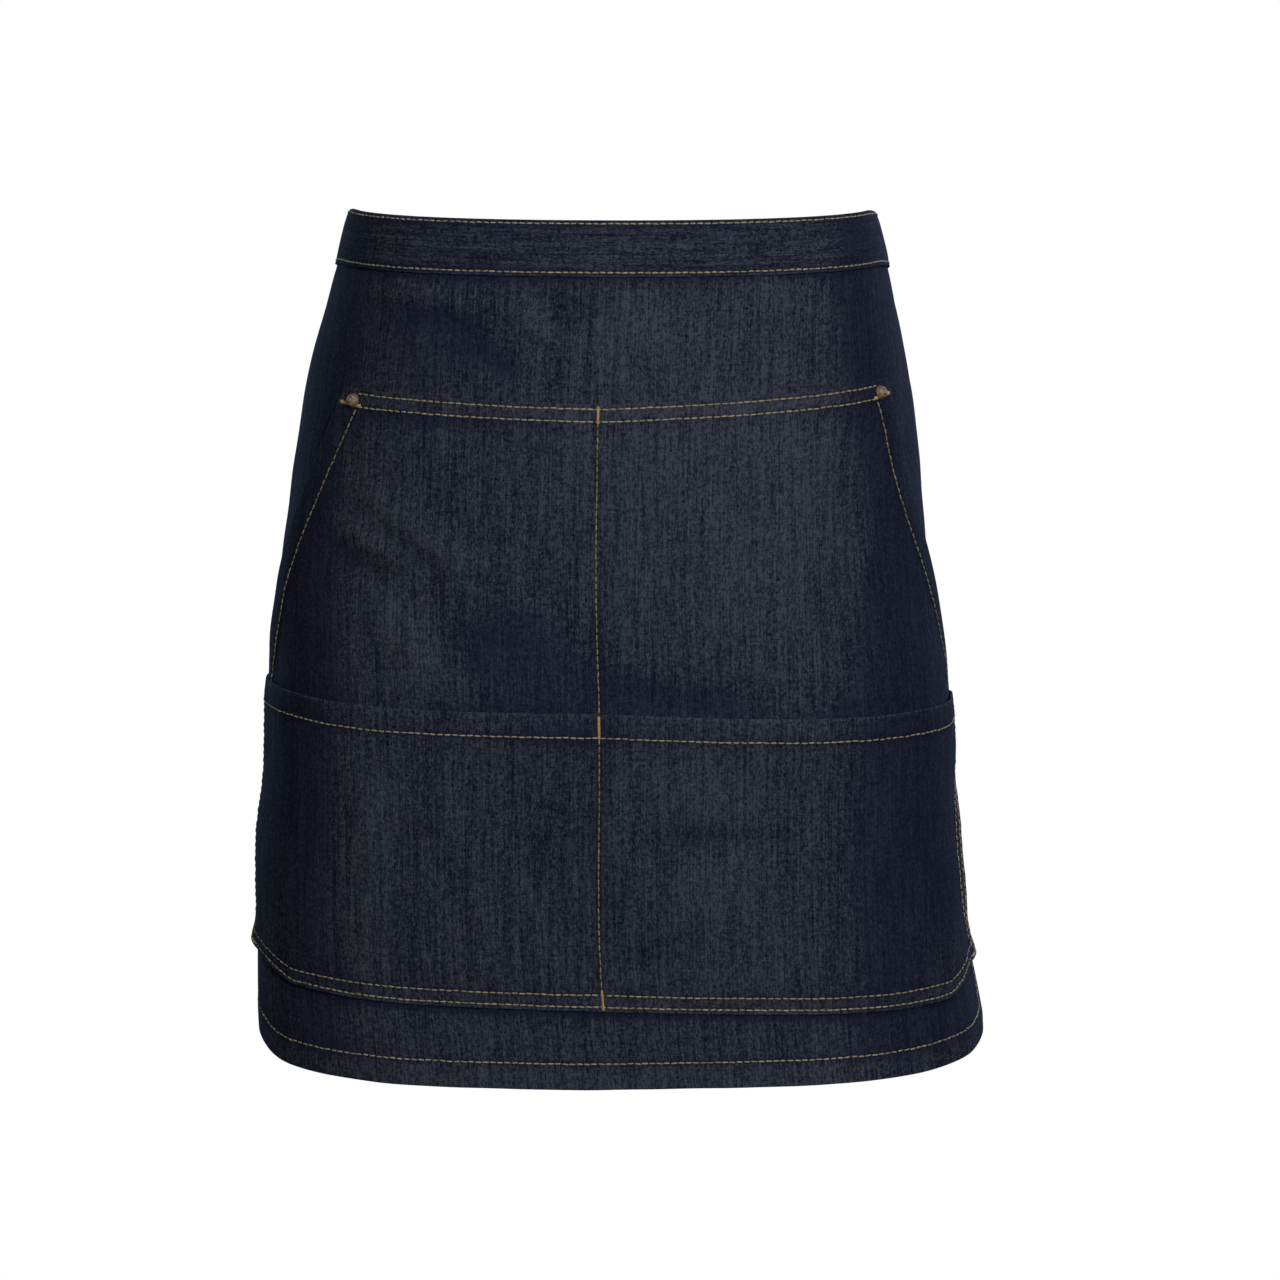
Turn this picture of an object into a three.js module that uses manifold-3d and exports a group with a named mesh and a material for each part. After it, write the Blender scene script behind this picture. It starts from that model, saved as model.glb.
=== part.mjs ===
// A denim waist apron in the shape that it has when worn: a skirt of cloth hung from a waistband,
// with a tall two-part pocket, a wide low pocket over it, two rivets, and ties that close the waist.
// Millimetres, +Z up. The front faces -Y, and +X is on the right of someone looking at the front.
// The origin is the middle of the waist, level with the waistband's top edge at the front.

import * as THREE from 'three';
import { mergeVertices } from 'three/addons/utils/BufferGeometryUtils.js';
import Module from 'manifold-3d';

// Driving dimensions

const LENGTH = 450; // waistband's top edge down to the hem, at the front
const CLOTH = 1.0; // one layer of denim
const GAP = 0.7; // air between one layer and the next
const LAYER = CLOTH + GAP;
const WRAP_SHIFT = 11.5; // how far the cut cloth's middle sits round to the right of the body's front

const SKIRT = { width: 560, top: 13, hem: 13 }; // top is under the band, and hem is the turned strip
// Left of its middle the hem hangs a little lower, and at that side it rides up.
const HEM = { above: 400, dip: 2.6, dipFrom: -70, dipTo: 30, lift: 6, liftFrom: 190, liftTo: 250 };
const BAND = { height: 28.5, overhang: 14, lip: 1.2 };
const RIVET = { across: 146.7, drop: 94.9, tilt: 1.7, cap: 3.8, dome: 3.8, post: 1.5, burr: 3.6, seat: 0.6 };
const POST_HOLE = RIVET.post + 0.4;
const TIE = { width: 24, thickness: 1.2, tuck: 12 };
const KNOT = { width: 30, height: 30, depth: 13, corner: 9 };
const TAIL = { length: 170, start: 13, splay: 0.1, proud: 2 };

// How far the band and ties fall behind the hips, on their way to the knot.
const BACK_FALL = { start: 165, run: 215, depth: 32, softness: 0.12 };

// The hanging cloth, measured on the skirt's inner face: a superellipse at each drop below the waist.
const SECTIONS = [
  { drop: 0, halfWidth: 141.7, halfDepth: 98.5, squareness: 2.23, sway: 0 },
  { drop: 25, halfWidth: 148.0, halfDepth: 106, squareness: 2.36, sway: 0 },
  { drop: 95, halfWidth: 165.3, halfDepth: 118, squareness: 2.62, sway: -2 },
  { drop: 190, halfWidth: 178.6, halfDepth: 128.5, squareness: 2.95, sway: -3 },
  { drop: 260, halfWidth: 186.6, halfDepth: 138, squareness: 3.23, sway: -1 },
  { drop: 385, halfWidth: 195.5, halfDepth: 152.5, squareness: 3.42, sway: 0 },
  { drop: 450, halfWidth: 203, halfDepth: 163, squareness: 3.5, sway: 6 },
];

// The pockets' outlines: the half width at each drop. The tall one has slanted hand openings, and
// the low one, which lies over it, is open along its top. Both have clipped bottom corners.
const UPPER_POCKET = [
  { drop: 92.5, half: 155, steps: 0 },
  { drop: 257, half: 236, steps: 7 },
  { drop: 276, half: 222, steps: 2 },
  { drop: 400, half: 214, steps: 5 },
];
const LOWER_POCKET = [
  { drop: 254, half: 244, steps: 0 },
  { drop: 294, half: 241, steps: 3 },
  { drop: 411, half: 233, steps: 4 },
];
const CLIP = { across: 48, drop: 11.5 };
const SEAM = -WRAP_SHIFT; // the row that divides both pockets, at the body's front centre
// The top edge climbs from the seam to its corners.
const UPPER_MOUTH = { dip: 1.1, climbLeft: 0.03, climbRight: 0.049, bend: 8 };
const SLIT = { ease: 2.4, easeFrom: 0.78 }; // how far the slanted sides gape
const DRAW = { inward: 11.5, share: 0.4, from: 95, full: 155, back: 160, end: 258 }; // of the right slit
const LOWER_MOUTH = { tilt: 3.7, droop: 2.4, droopFrom: 60, droopTo: 220, ease: 1.2 };

// Soft dents and swells that run down the cloth: proud is the height out of the surface.
const FOLDS = [
  { across: 0, reach: 45, proud: -1.2, top: 100, bottom: 415 },
  { across: -118, reach: 62, proud: 2.2, top: 120, bottom: 415 },
  { across: 128, reach: 66, proud: 2.2, top: 110, bottom: 415 },
  { across: -205, reach: 46, proud: 2.0, top: 290, bottom: 480 },
  { across: 212, reach: 46, proud: 2.4, top: 310, bottom: 480 },
];
const FOLD_FADE = 60; // a fold grows and dies over this much drop

// The form that the cloth hangs on

const SECTION_COLUMNS = ['halfWidth', 'halfDepth', 'squareness', 'sway'];
const sectionSpline = new THREE.CubicInterpolant(
  SECTIONS.map((row) => row.drop),
  SECTIONS.flatMap((row) => SECTION_COLUMNS.map((column) => row[column])),
  SECTION_COLUMNS.length,
);

// One half of a section, from the front centre to the back centre, with the length walked so far.
const LOOP_STEPS = 240;
const loops = new Map();
function halfLoop(drop) {
  const key = drop.toFixed(2);
  if (loops.has(key)) return loops.get(key);
  const [halfWidth, halfDepth, squareness, sway] = sectionSpline.evaluate(drop);
  const points = [];
  const walked = [0];
  for (let step = 0; step <= LOOP_STEPS; step++) {
    const turn = (Math.PI * step) / LOOP_STEPS;
    const wide = Math.abs(Math.sin(turn) / halfWidth) ** squareness;
    const deep = Math.abs(Math.cos(turn) / halfDepth) ** squareness;
    const radius = (wide + deep) ** (-1 / squareness);
    points.push(new THREE.Vector2(radius * Math.sin(turn), -radius * Math.cos(turn)));
    if (step) walked.push(walked[step - 1] + points[step].distanceTo(points[step - 1]));
  }
  const loop = { points, walked, sway };
  loops.set(key, loop);
  return loop;
}

const halfRound = (drop) => halfLoop(drop).walked[LOOP_STEPS];

function foldAt(across, drop) {
  return FOLDS.reduce((sum, fold) => {
    const grow = THREE.MathUtils.smoothstep(drop, fold.top, fold.top + FOLD_FADE);
    const die = 1 - THREE.MathUtils.smoothstep(drop, fold.bottom - FOLD_FADE, fold.bottom);
    return sum + fold.proud * Math.exp(-(((across - fold.across) / fold.reach) ** 2)) * grow * die;
  }, 0);
}

// How much lower the cloth hangs behind the hips than at the front.
function backFall(across) {
  const way = Math.max(0, (Math.abs(across) - BACK_FALL.start) / BACK_FALL.run);
  const ease = (way * way * (1 + BACK_FALL.softness)) / (way + BACK_FALL.softness);
  return BACK_FALL.depth * ease;
}

// The point across mm round from the front centre, at a true drop, proud mm off the skirt's inner face.
function bodyPoint(across, drop, proud) {
  const { points, walked, sway } = halfLoop(drop);
  const side = across < 0 ? -1 : 1;
  const reach = Math.min(Math.abs(across), walked[LOOP_STEPS]);
  let step = walked.findIndex((length) => length >= reach);
  step = THREE.MathUtils.clamp(step, 1, LOOP_STEPS);
  const share = (reach - walked[step - 1]) / (walked[step] - walked[step - 1]);
  const place = points[step - 1].clone().lerp(points[step], share);
  const before = points[Math.max(step - 2, 0)];
  const after = points[Math.min(step + 1, LOOP_STEPS)];
  const along = after.clone().sub(before).normalize();
  const out = proud + foldAt(across, drop);
  return new THREE.Vector3(
    side * (place.x + along.y * out) + sway,
    place.y - along.x * out,
    -drop,
  );
}

// A point of the cut cloth: across from its own middle, and drop as it would be at the front.
function clothPoint(across, drop, proud) {
  const round = across + WRAP_SHIFT;
  return bodyPoint(round, drop + backFall(round) * (1 - drop / LENGTH), proud);
}

// Solids

const spread = (from, to, steps) =>
  Array.from({ length: steps + 1 }, (_, i) => THREE.MathUtils.lerp(from, to, i / steps));

// Four corners of a strip's outline, one below the other.
const down = (proud, from, to) => spread(from, to, 3).map((drop) => ({ proud, drop }));

function closedGeometry(positions, indices) {
  const geometry = new THREE.BufferGeometry();
  geometry.setAttribute('position', new THREE.Float32BufferAttribute(positions, 3));
  geometry.setIndex(indices);
  geometry.computeVertexNormals();
  return geometry;
}

// A closed sheet: the same grid at two depths, joined round its rim.
function wallGeometry(columns, rows, pointAt) {
  const positions = [];
  for (const face of ['outer', 'inner'])
    for (const column of columns)
      for (const row of rows) positions.push(...pointAt(column, row, face).toArray());

  const lastColumn = columns.length - 1;
  const lastRow = rows.length - 1;
  const outer = (column, row) => column * rows.length + row;
  const inner = (column, row) => columns.length * rows.length + outer(column, row);
  const indices = [];
  const quad = (a, b, c, d) => indices.push(a, b, c, a, c, d);
  for (let c = 0; c < lastColumn; c++) {
    for (let r = 0; r < lastRow; r++) {
      quad(outer(c, r), outer(c, r + 1), outer(c + 1, r + 1), outer(c + 1, r));
      quad(inner(c, r), inner(c + 1, r), inner(c + 1, r + 1), inner(c, r + 1));
    }
    quad(outer(c, 0), outer(c + 1, 0), inner(c + 1, 0), inner(c, 0));
    quad(outer(c + 1, lastRow), outer(c, lastRow), inner(c, lastRow), inner(c + 1, lastRow));
  }
  for (let r = 0; r < lastRow; r++) {
    quad(outer(0, r + 1), outer(0, r), inner(0, r), inner(0, r + 1));
    quad(outer(lastColumn, r), outer(lastColumn, r + 1), inner(lastColumn, r + 1), inner(lastColumn, r));
  }
  return closedGeometry(positions, indices);
}

// A closed strip: one outline of {proud, drop} corners carried through every column.
function stripGeometry(columns, outline, pointAt) {
  const positions = columns.flatMap((column) =>
    outline.flatMap(({ proud, drop }) => pointAt(column, drop, proud).toArray()),
  );
  const corners = outline.length;
  const corner = (column, i) => column * corners + (i % corners);
  const indices = [];
  for (let c = 0; c < columns.length - 1; c++)
    for (let i = 0; i < corners; i++) {
      indices.push(corner(c, i), corner(c, i + 1), corner(c + 1, i + 1));
      indices.push(corner(c, i), corner(c + 1, i + 1), corner(c + 1, i));
    }
  const flat = outline.map(({ proud, drop }) => new THREE.Vector2(proud, drop));
  const last = columns.length - 1;
  for (const [a, b, c] of THREE.ShapeUtils.triangulateShape(flat, [])) {
    indices.push(corner(0, a), corner(0, c), corner(0, b));
    indices.push(corner(last, a), corner(last, b), corner(last, c));
  }
  return closedGeometry(positions, indices);
}

const wasm = await Module();
wasm.setup();

function solidOf(geometry) {
  const bare = geometry.clone();
  bare.deleteAttribute('normal');
  bare.deleteAttribute('uv');
  const merged = mergeVertices(bare, 1e-3);
  const vertProperties = merged.attributes.position.array;
  const triVerts = new Uint32Array(merged.index.array);
  return new wasm.Manifold(new wasm.Mesh({ numProp: 3, vertProperties, triVerts }));
}

function cutAway(geometry, tools) {
  const left = tools.reduce((solid, tool) => solid.subtract(solidOf(tool)), solidOf(geometry));
  const { vertProperties, triVerts } = left.getMesh();
  return closedGeometry(Array.from(vertProperties), Array.from(triVerts));
}

// Sub-parts

const COLUMNS = { skirt: 40, upperPocket: 38, lowerPocket: 40, tie: 20, tail: 2 };

// A pocket's rows and its half width between them, from its outline.
function pocketRows(outline) {
  return outline.flatMap(({ drop, steps }, i) =>
    steps ? spread(outline[i - 1].drop, drop, steps).slice(1) : [drop],
  );
}

function halfWidthAt(outline, drop) {
  const next = Math.max(1, outline.findIndex((row) => row.drop >= drop));
  const [above, below] = [outline[next - 1], outline[next]];
  return THREE.MathUtils.mapLinear(drop, above.drop, below.drop, above.half, below.half);
}

function hemFall(across, drop) {
  const dip = HEM.dip * THREE.MathUtils.smoothstep(-across, HEM.dipFrom, HEM.dipTo);
  const lift = HEM.lift * THREE.MathUtils.smoothstep(-across, HEM.liftFrom, HEM.liftTo);
  return (dip - lift) * THREE.MathUtils.smoothstep(drop, HEM.above, LENGTH);
}

function skirtGeometry() {
  const half = SKIRT.width / 2;
  const hemTop = LENGTH - SKIRT.hem;
  const banded = spread(SKIRT.top, BAND.height, 2);
  const pocketed = pocketRows(UPPER_POCKET);
  const bare = (BAND.height + pocketed[0]) / 2;
  const rows = [...banded, bare, ...pocketed, hemTop - CLOTH, hemTop, LENGTH];
  return wallGeometry(spread(-half, half, COLUMNS.skirt), rows, (across, drop, face) => {
    const turned = drop >= hemTop ? -CLOTH : 0;
    return clothPoint(across, drop + hemFall(across, drop), face === 'outer' ? CLOTH : turned);
  });
}

// The band is one strip folded over the skirt's top edge, so its section is a tall narrow arch.
function bandGeometry() {
  const half = SKIRT.width / 2;
  const end = half + BAND.overhang;
  const front = LAYER + CLOTH;
  const back = -GAP - CLOTH;
  const outline = [
    ...down(LAYER, BAND.height, LAYER),
    ...down(-GAP, LAYER, BAND.height),
    ...down(back, BAND.height, BAND.lip),
    { proud: back + BAND.lip, drop: 0 },
    { proud: front - BAND.lip, drop: 0 },
    ...down(front, BAND.lip, BAND.height),
  ];
  const past = spread(half, end, 2).slice(1);
  const before = past.map((across) => -across).reverse();
  const columns = [...before, ...spread(-half, half, COLUMNS.skirt), ...past];
  return stripGeometry(columns, outline, clothPoint);
}

// The rows of a pocket's last stretch close up towards its clipped corners.
function clippedDrop(outline, across, drop) {
  const [shoulder, foot] = outline.slice(-2);
  const cut = CLIP.drop * Math.max(0, (Math.abs(across) - foot.half + CLIP.across) / CLIP.across);
  return drop - cut * Math.max(0, (drop - shoulder.drop) / (foot.drop - shoulder.drop));
}

// The tall pocket's sewn top edge climbs from the seam to its corners. Its slanted sides gape a
// little, and the right one is drawn inward below its rivet.
function upperPocketGeometry() {
  const [top, slantEnd] = UPPER_POCKET;
  const columns = spread(-1, 1, COLUMNS.upperPocket);
  return wallGeometry(columns, pocketRows(UPPER_POCKET), (share, drop, face) => {
    const across = share * halfWidthAt(UPPER_POCKET, drop);
    const climb = across < SEAM ? UPPER_MOUTH.climbLeft : UPPER_MOUTH.climbRight;
    const off = Math.hypot(across - SEAM, UPPER_MOUTH.bend) - UPPER_MOUTH.bend;
    const way = (drop - top.drop) / (slantEnd.drop - top.drop);
    const lift = (climb * off - UPPER_MOUTH.dip) * Math.max(0, 1 - way);
    const slit = (drop - top.drop) / (LOWER_POCKET[0].drop - top.drop);
    const edge = THREE.MathUtils.smoothstep(Math.abs(share), SLIT.easeFrom, 1);
    const gape = slit < 1 ? SLIT.ease * edge * Math.sin(Math.PI * slit * slit) : 0;
    const draw =
      DRAW.inward *
      THREE.MathUtils.smoothstep(share, DRAW.share, 1) *
      THREE.MathUtils.smoothstep(drop, DRAW.from, DRAW.full) *
      (1 - THREE.MathUtils.smoothstep(drop, DRAW.back, DRAW.end));
    const proud = LAYER + gape + (face === 'outer' ? CLOTH : 0);
    return clothPoint(across - draw, clippedDrop(UPPER_POCKET, across, drop) - lift, proud);
  });
}

// The low pocket's mouth stands off a little along its top, and sits lower on the right.
function lowerPocketGeometry() {
  const [mouth, easeEnd, foot] = LOWER_POCKET;
  const { tilt, droop, droopFrom, droopTo, ease } = LOWER_MOUTH;
  const columns = spread(-1, 1, COLUMNS.lowerPocket);
  return wallGeometry(columns, pocketRows(LOWER_POCKET), (share, drop, face) => {
    const open = 1 - THREE.MathUtils.smoothstep(drop, mouth.drop, easeEnd.drop);
    const proud = 2 * LAYER + ease * open + (face === 'outer' ? CLOTH : 0);
    const across = share * halfWidthAt(LOWER_POCKET, drop);
    const right = droop * THREE.MathUtils.smoothstep(across, droopFrom, droopTo);
    const fall = (tilt * across) / foot.half + right;
    return clothPoint(across, clippedDrop(LOWER_POCKET, across, drop) + fall, proud);
  });
}

// A tie runs from inside the band's open end to the knot at the back.
function tieGeometry(side) {
  const half = SKIRT.width / 2 + BAND.overhang;
  const start = half - TIE.tuck + side * WRAP_SHIFT;
  const top = (BAND.height - TIE.width) / 2 + CLOTH / 2;
  const near = (LAYER - GAP - TIE.thickness) / 2;
  const outline = [
    ...down(near + TIE.thickness, top, top + TIE.width),
    ...down(near, top + TIE.width, top),
  ];
  const shares = side > 0 ? spread(0, 1, COLUMNS.tie) : spread(1, 0, COLUMNS.tie);
  return stripGeometry(shares, outline, (share, drop, proud) => {
    const endDrop = drop + backFall(halfRound(drop));
    const end = halfRound(endDrop) - KNOT.width / 2 - GAP;
    const round = THREE.MathUtils.lerp(start, end, share);
    return bodyPoint(side * round, drop + backFall(round) * (1 - drop / LENGTH), proud);
  });
}

const KNOT_DROP = BAND.height / 2 + backFall(halfRound(BAND.height + BACK_FALL.depth));

function knotMesh(material) {
  const { width, height, depth, corner } = KNOT;
  const outline = new THREE.Shape();
  outline.moveTo(corner - width / 2, -height / 2);
  for (const [x, y, from] of [[1, -1, -0.5], [1, 1, 0], [-1, 1, 0.5], [-1, -1, 1]])
    outline.absarc(
      x * (width / 2 - corner),
      y * (height / 2 - corner),
      corner,
      from * Math.PI,
      (from + 0.5) * Math.PI,
    );
  const bevel = depth / 4;
  const geometry = new THREE.ExtrudeGeometry(outline, {
    depth: depth - 2 * bevel,
    curveSegments: 4,
    bevelThickness: bevel,
    bevelSize: bevel,
    bevelOffset: -bevel,
    bevelSegments: 2,
  });
  const mesh = new THREE.Mesh(geometry, material);
  mesh.name = 'tie_knot';
  const seat = bodyPoint(halfRound(KNOT_DROP), KNOT_DROP, TAIL.proud / 2 - bevel);
  mesh.position.set(seat.x, seat.y + depth / 2, seat.z);
  mesh.rotation.x = Math.PI / 2;
  return mesh;
}

// A tail hangs from under the knot, down the back of the body, and splays a little.
function tailGeometry(side) {
  const top = KNOT_DROP + KNOT.height / 2 + GAP;
  const rows = spread(top, top + TAIL.length, 8);
  const columns = spread(-TIE.width / 2, TIE.width / 2, COLUMNS.tail);
  return wallGeometry(columns, rows, (across, drop, face) => {
    const middle = TAIL.start + TAIL.splay * (drop - top);
    const round = halfRound(drop) - middle - side * across;
    return bodyPoint(-side * round, drop, TAIL.proud + (face === 'outer' ? TIE.thickness : 0));
  });
}

// The rivet: a domed cap on the pocket, a post through the layers and a flat burr behind the skirt.
function rivetFrame(side) {
  const across = side * RIVET.across;
  const drop = RIVET.drop - side * RIVET.tilt;
  const along = clothPoint(across + 1, drop, 0).sub(clothPoint(across - 1, drop, 0));
  const down = clothPoint(across, drop + 1, 0).sub(clothPoint(across, drop - 1, 0));
  const out = down.cross(along).normalize();
  const turn = new THREE.Quaternion().setFromUnitVectors(new THREE.Vector3(0, 1, 0), out);
  return new THREE.Matrix4().compose(clothPoint(across, drop, 0), turn, new THREE.Vector3(1, 1, 1));
}

function rivetGeometry(side) {
  const { cap, dome, post, burr, seat } = RIVET;
  const capFoot = LAYER + CLOTH + seat;
  const profile = new THREE.Path();
  profile.moveTo(0, -seat - CLOTH);
  profile.lineTo(burr, -seat - CLOTH);
  profile.lineTo(burr, -seat);
  profile.lineTo(post, -seat);
  profile.lineTo(post, capFoot);
  profile.lineTo(cap, capFoot);
  profile.lineTo(cap, capFoot + dome / 3);
  profile.quadraticCurveTo(cap * 0.8, capFoot + dome, 0, capFoot + dome);
  return new THREE.LatheGeometry(profile.getPoints(3), 16).applyMatrix4(rivetFrame(side));
}

function postHole(side) {
  const depth = 8 * LAYER;
  return new THREE.CylinderGeometry(POST_HOLE, POST_HOLE, depth, 12).applyMatrix4(rivetFrame(side));
}

// Materials

const denim = new THREE.MeshStandardMaterial({ color: 0x1d2432, roughness: 0.9, metalness: 0 });
const crossDenim = new THREE.MeshStandardMaterial({ color: 0x202736, roughness: 0.9, metalness: 0 });
const brass = new THREE.MeshStandardMaterial({ color: 0x8a6b45, roughness: 0.45, metalness: 1 });

// Assembly

const apron = new THREE.Group();

function place(name, geometry, material) {
  const mesh = new THREE.Mesh(geometry, material);
  mesh.name = name;
  apron.add(mesh);
}

const SIDES = { left: -1, right: 1 };
const holes = Object.values(SIDES).map(postHole);
place('skirt', cutAway(skirtGeometry(), holes), denim);
place('waistband', bandGeometry(), crossDenim);
place('upper_pocket', cutAway(upperPocketGeometry(), holes), denim);
place('lower_pocket', lowerPocketGeometry(), denim);
for (const [word, side] of Object.entries(SIDES)) {
  place(`rivet_${word}`, rivetGeometry(side), brass);
  place(`tie_${word}`, tieGeometry(side), crossDenim);
  place(`tail_${word}`, tailGeometry(side), crossDenim);
}
apron.add(knotMesh(crossDenim));

export default apron;
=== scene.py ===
"""A denim waist apron as sewn and worn: cloth, stitches, bar tacks, rivets, ties and a plain studio.

Sizes are in millimetres until a mesh is made. A place on the cut cloth is (across, drop): across from
the cloth's own middle, and drop below the waistband's top edge as it is at the front.
"""

import logging
import math
from abc import ABC, abstractmethod
from collections.abc import Callable, Iterable, Sequence
from dataclasses import dataclass, field
from enum import Enum
from typing import Any

import bmesh
import bpy
import numpy as np
from mathutils import Matrix, Vector


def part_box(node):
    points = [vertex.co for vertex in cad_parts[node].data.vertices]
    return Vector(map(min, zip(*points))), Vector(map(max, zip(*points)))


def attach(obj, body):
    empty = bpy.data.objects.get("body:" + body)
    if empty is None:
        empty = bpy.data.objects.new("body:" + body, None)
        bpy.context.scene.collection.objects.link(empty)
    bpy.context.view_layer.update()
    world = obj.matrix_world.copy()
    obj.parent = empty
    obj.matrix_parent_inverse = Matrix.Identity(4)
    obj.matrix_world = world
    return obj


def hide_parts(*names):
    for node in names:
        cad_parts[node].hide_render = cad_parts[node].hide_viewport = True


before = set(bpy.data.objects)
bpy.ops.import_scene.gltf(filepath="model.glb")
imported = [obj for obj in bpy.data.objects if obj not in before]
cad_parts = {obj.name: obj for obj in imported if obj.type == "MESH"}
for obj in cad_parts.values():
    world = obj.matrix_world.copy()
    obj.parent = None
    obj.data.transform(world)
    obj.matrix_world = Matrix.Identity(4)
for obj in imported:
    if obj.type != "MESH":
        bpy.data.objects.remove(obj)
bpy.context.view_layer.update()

LOG = logging.getLogger("apron")
MM = 0.001
BODY = "root"
LENGTH = 450.0
WRAP_SHIFT = 11.5
SEAM = -WRAP_SHIFT
SEAM_SHINE = 0.22
TWIN = (2.5, 9.0)
MOUTH = 254.0
BAND_HALF = 294.0
CLOTH, HEM_RISE, EDGE_SHARE = 0.9, 0.5, 0.12
WHITE = (1.0, 1.0, 1.0, 1.0)

Array = np.ndarray
Colour = tuple[float, float, float]


class Side(Enum):
    """The left or right of someone who looks at the front."""

    LEFT = -1
    RIGHT = 1


class Held(Enum):
    """How a sheet of cloth is held."""

    HUNG = "hung"
    FOLDED = "folded"
    STRETCHED = "stretched"


def ease(value: Array | float, low: float, high: float) -> Array:
    """Smooth rise from 0 at low to 1 at high."""
    way = np.clip((np.asarray(value, float) - low) / (high - low), 0.0, 1.0)
    return way * way * (3.0 - 2.0 * way)


def ruled(marks: Iterable[float], pitch: float) -> Array:
    """Grid lines through every mark, with the gaps between marks filled.

    Args:
        marks: Places that must have a line.
        pitch: Widest gap between two lines.

    Returns:
        The lines in rising order.
    """
    places = sorted({round(float(mark), 3) for mark in marks})
    lines = [places[0]]
    for low, high in zip(places, places[1:]):
        steps = max(1, math.ceil((high - low) / pitch - 1e-6))
        lines.extend(np.linspace(low, high, steps + 1)[1:])
    return np.array(lines)


def edge_marks(edge: float, inward: int) -> list[float]:
    """Close lines at a free edge, where the cloth rounds over."""
    return [edge + inward * step for step in (0.0, 0.3, 0.8, 1.6)]


def row_marks(row: float) -> list[float]:
    """Close lines over a stitched row, where the cloth sinks."""
    return [row + step for step in (-2.0, -0.8, 0.0, 0.8, 2.0)]


def paired_lines(half: float, row: float, pitch: float) -> Array:
    """Grid lines between two free edges that each have a stitched row inside them."""
    return ruled(edge_marks(-half, 1) + row_marks(-row) + row_marks(row) + edge_marks(half, -1), pitch)


def rounded(gap: Array, reach: float) -> Array:
    """Share of the thickness that is left at a gap from an edge that rounds over within reach."""
    return np.sqrt(1.0 - (1.0 - np.clip(gap / reach, 0.0, 1.0)) ** 2)


# ---------------------------------------------------------------- the form that the cloth hangs on


@dataclass(frozen=True)
class Section:
    """A superellipse round the body at one drop below the waist."""

    drop: float
    half_width: float
    half_depth: float
    squareness: float
    sway: float


@dataclass(frozen=True)
class Fold:
    """A soft swell or dent that runs down the cloth."""

    across: float
    reach: float
    proud: float
    top: float
    bottom: float


@dataclass(frozen=True)
class Crease:
    """A short ridge (or valley, where proud is below 0) between two places on the body."""

    start: tuple[float, float]
    end: tuple[float, float]
    reach: float
    proud: float


@dataclass(frozen=True)
class Patch:
    """A place on the body with painted light, or painted shade where tone is below 0."""

    across: float
    drop: float
    reach_across: float
    reach_drop: float
    tone: float


SECTIONS = (
    Section(0, 141.7, 98.5, 2.23, 0),
    Section(25, 148.0, 106.0, 2.36, 0),
    Section(95, 165.3, 118.0, 2.62, -2),
    Section(190, 178.6, 128.5, 2.95, -3),
    Section(260, 186.6, 138.0, 3.23, -1),
    Section(385, 195.5, 152.5, 3.42, 0),
    Section(450, 203.0, 163.0, 3.50, 6),
)
FOLDS = (
    Fold(0, 45, -1.2, 100, 415),
    Fold(-118, 62, 2.2, 120, 415),
    Fold(128, 66, 2.2, 110, 415),
    Fold(-205, 46, 2.0, 290, 480),
    Fold(212, 46, 2.4, 310, 480),
)
CREASES = (
    Crease((-126, 141), (-64, 182), 6.5, 3.4),
    Crease((-148, 157), (-96, 178), 5.5, 2.6),
    Crease((-148, 171), (-106, 188), 5.5, -2.2),
    Crease((-118, 192), (-81, 244), 12, 3.0),
    Crease((-60, 206), (-66, 246), 12, -1.2),
    Crease((-49, 40), (-16, 66), 6, 2.8),
    Crease((-26, 43), (4, 49), 5.5, -2.2),
    Crease((10, 29), (18, 68), 6, 2.4),
    Crease((74, 33), (108, 39), 6.5, 2.0),
    Crease((-134, 38), (-62, 40), 5.5, 1.8),
    Crease((-128, 48), (-58, 54), 5.5, -2.0),
    Crease((-82, 56), (-34, 85), 6, -2.2),
    Crease((8, 242), (86, 247), 8, -2.4),
    Crease((16, 320), (103, 320), 5.5, -2.1),
    Crease((4, 391), (64, 366), 6, -1.9),
    Crease((-120, 272), (-120, 366), 14, 1.4),
    Crease((40, 282), (68, 318), 12, 1.4),
    Crease((118, 128), (88, 172), 9, 1.2),
    Crease((150, 150), (120, 205), 10, 0.9),
    Crease((60, 190), (96, 238), 12, 0.9),
    Crease((257, 300), (254, 412), 13, 3.2),
    Crease((234, 306), (231, 404), 11, -3.8),
    Crease((240, 150), (246, 262), 22, -2.2),
    Crease((-224, 192), (-226, 226), 12, 1.5),
    Crease((-226, 228), (-228, 262), 14, -1.2),
)
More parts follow.
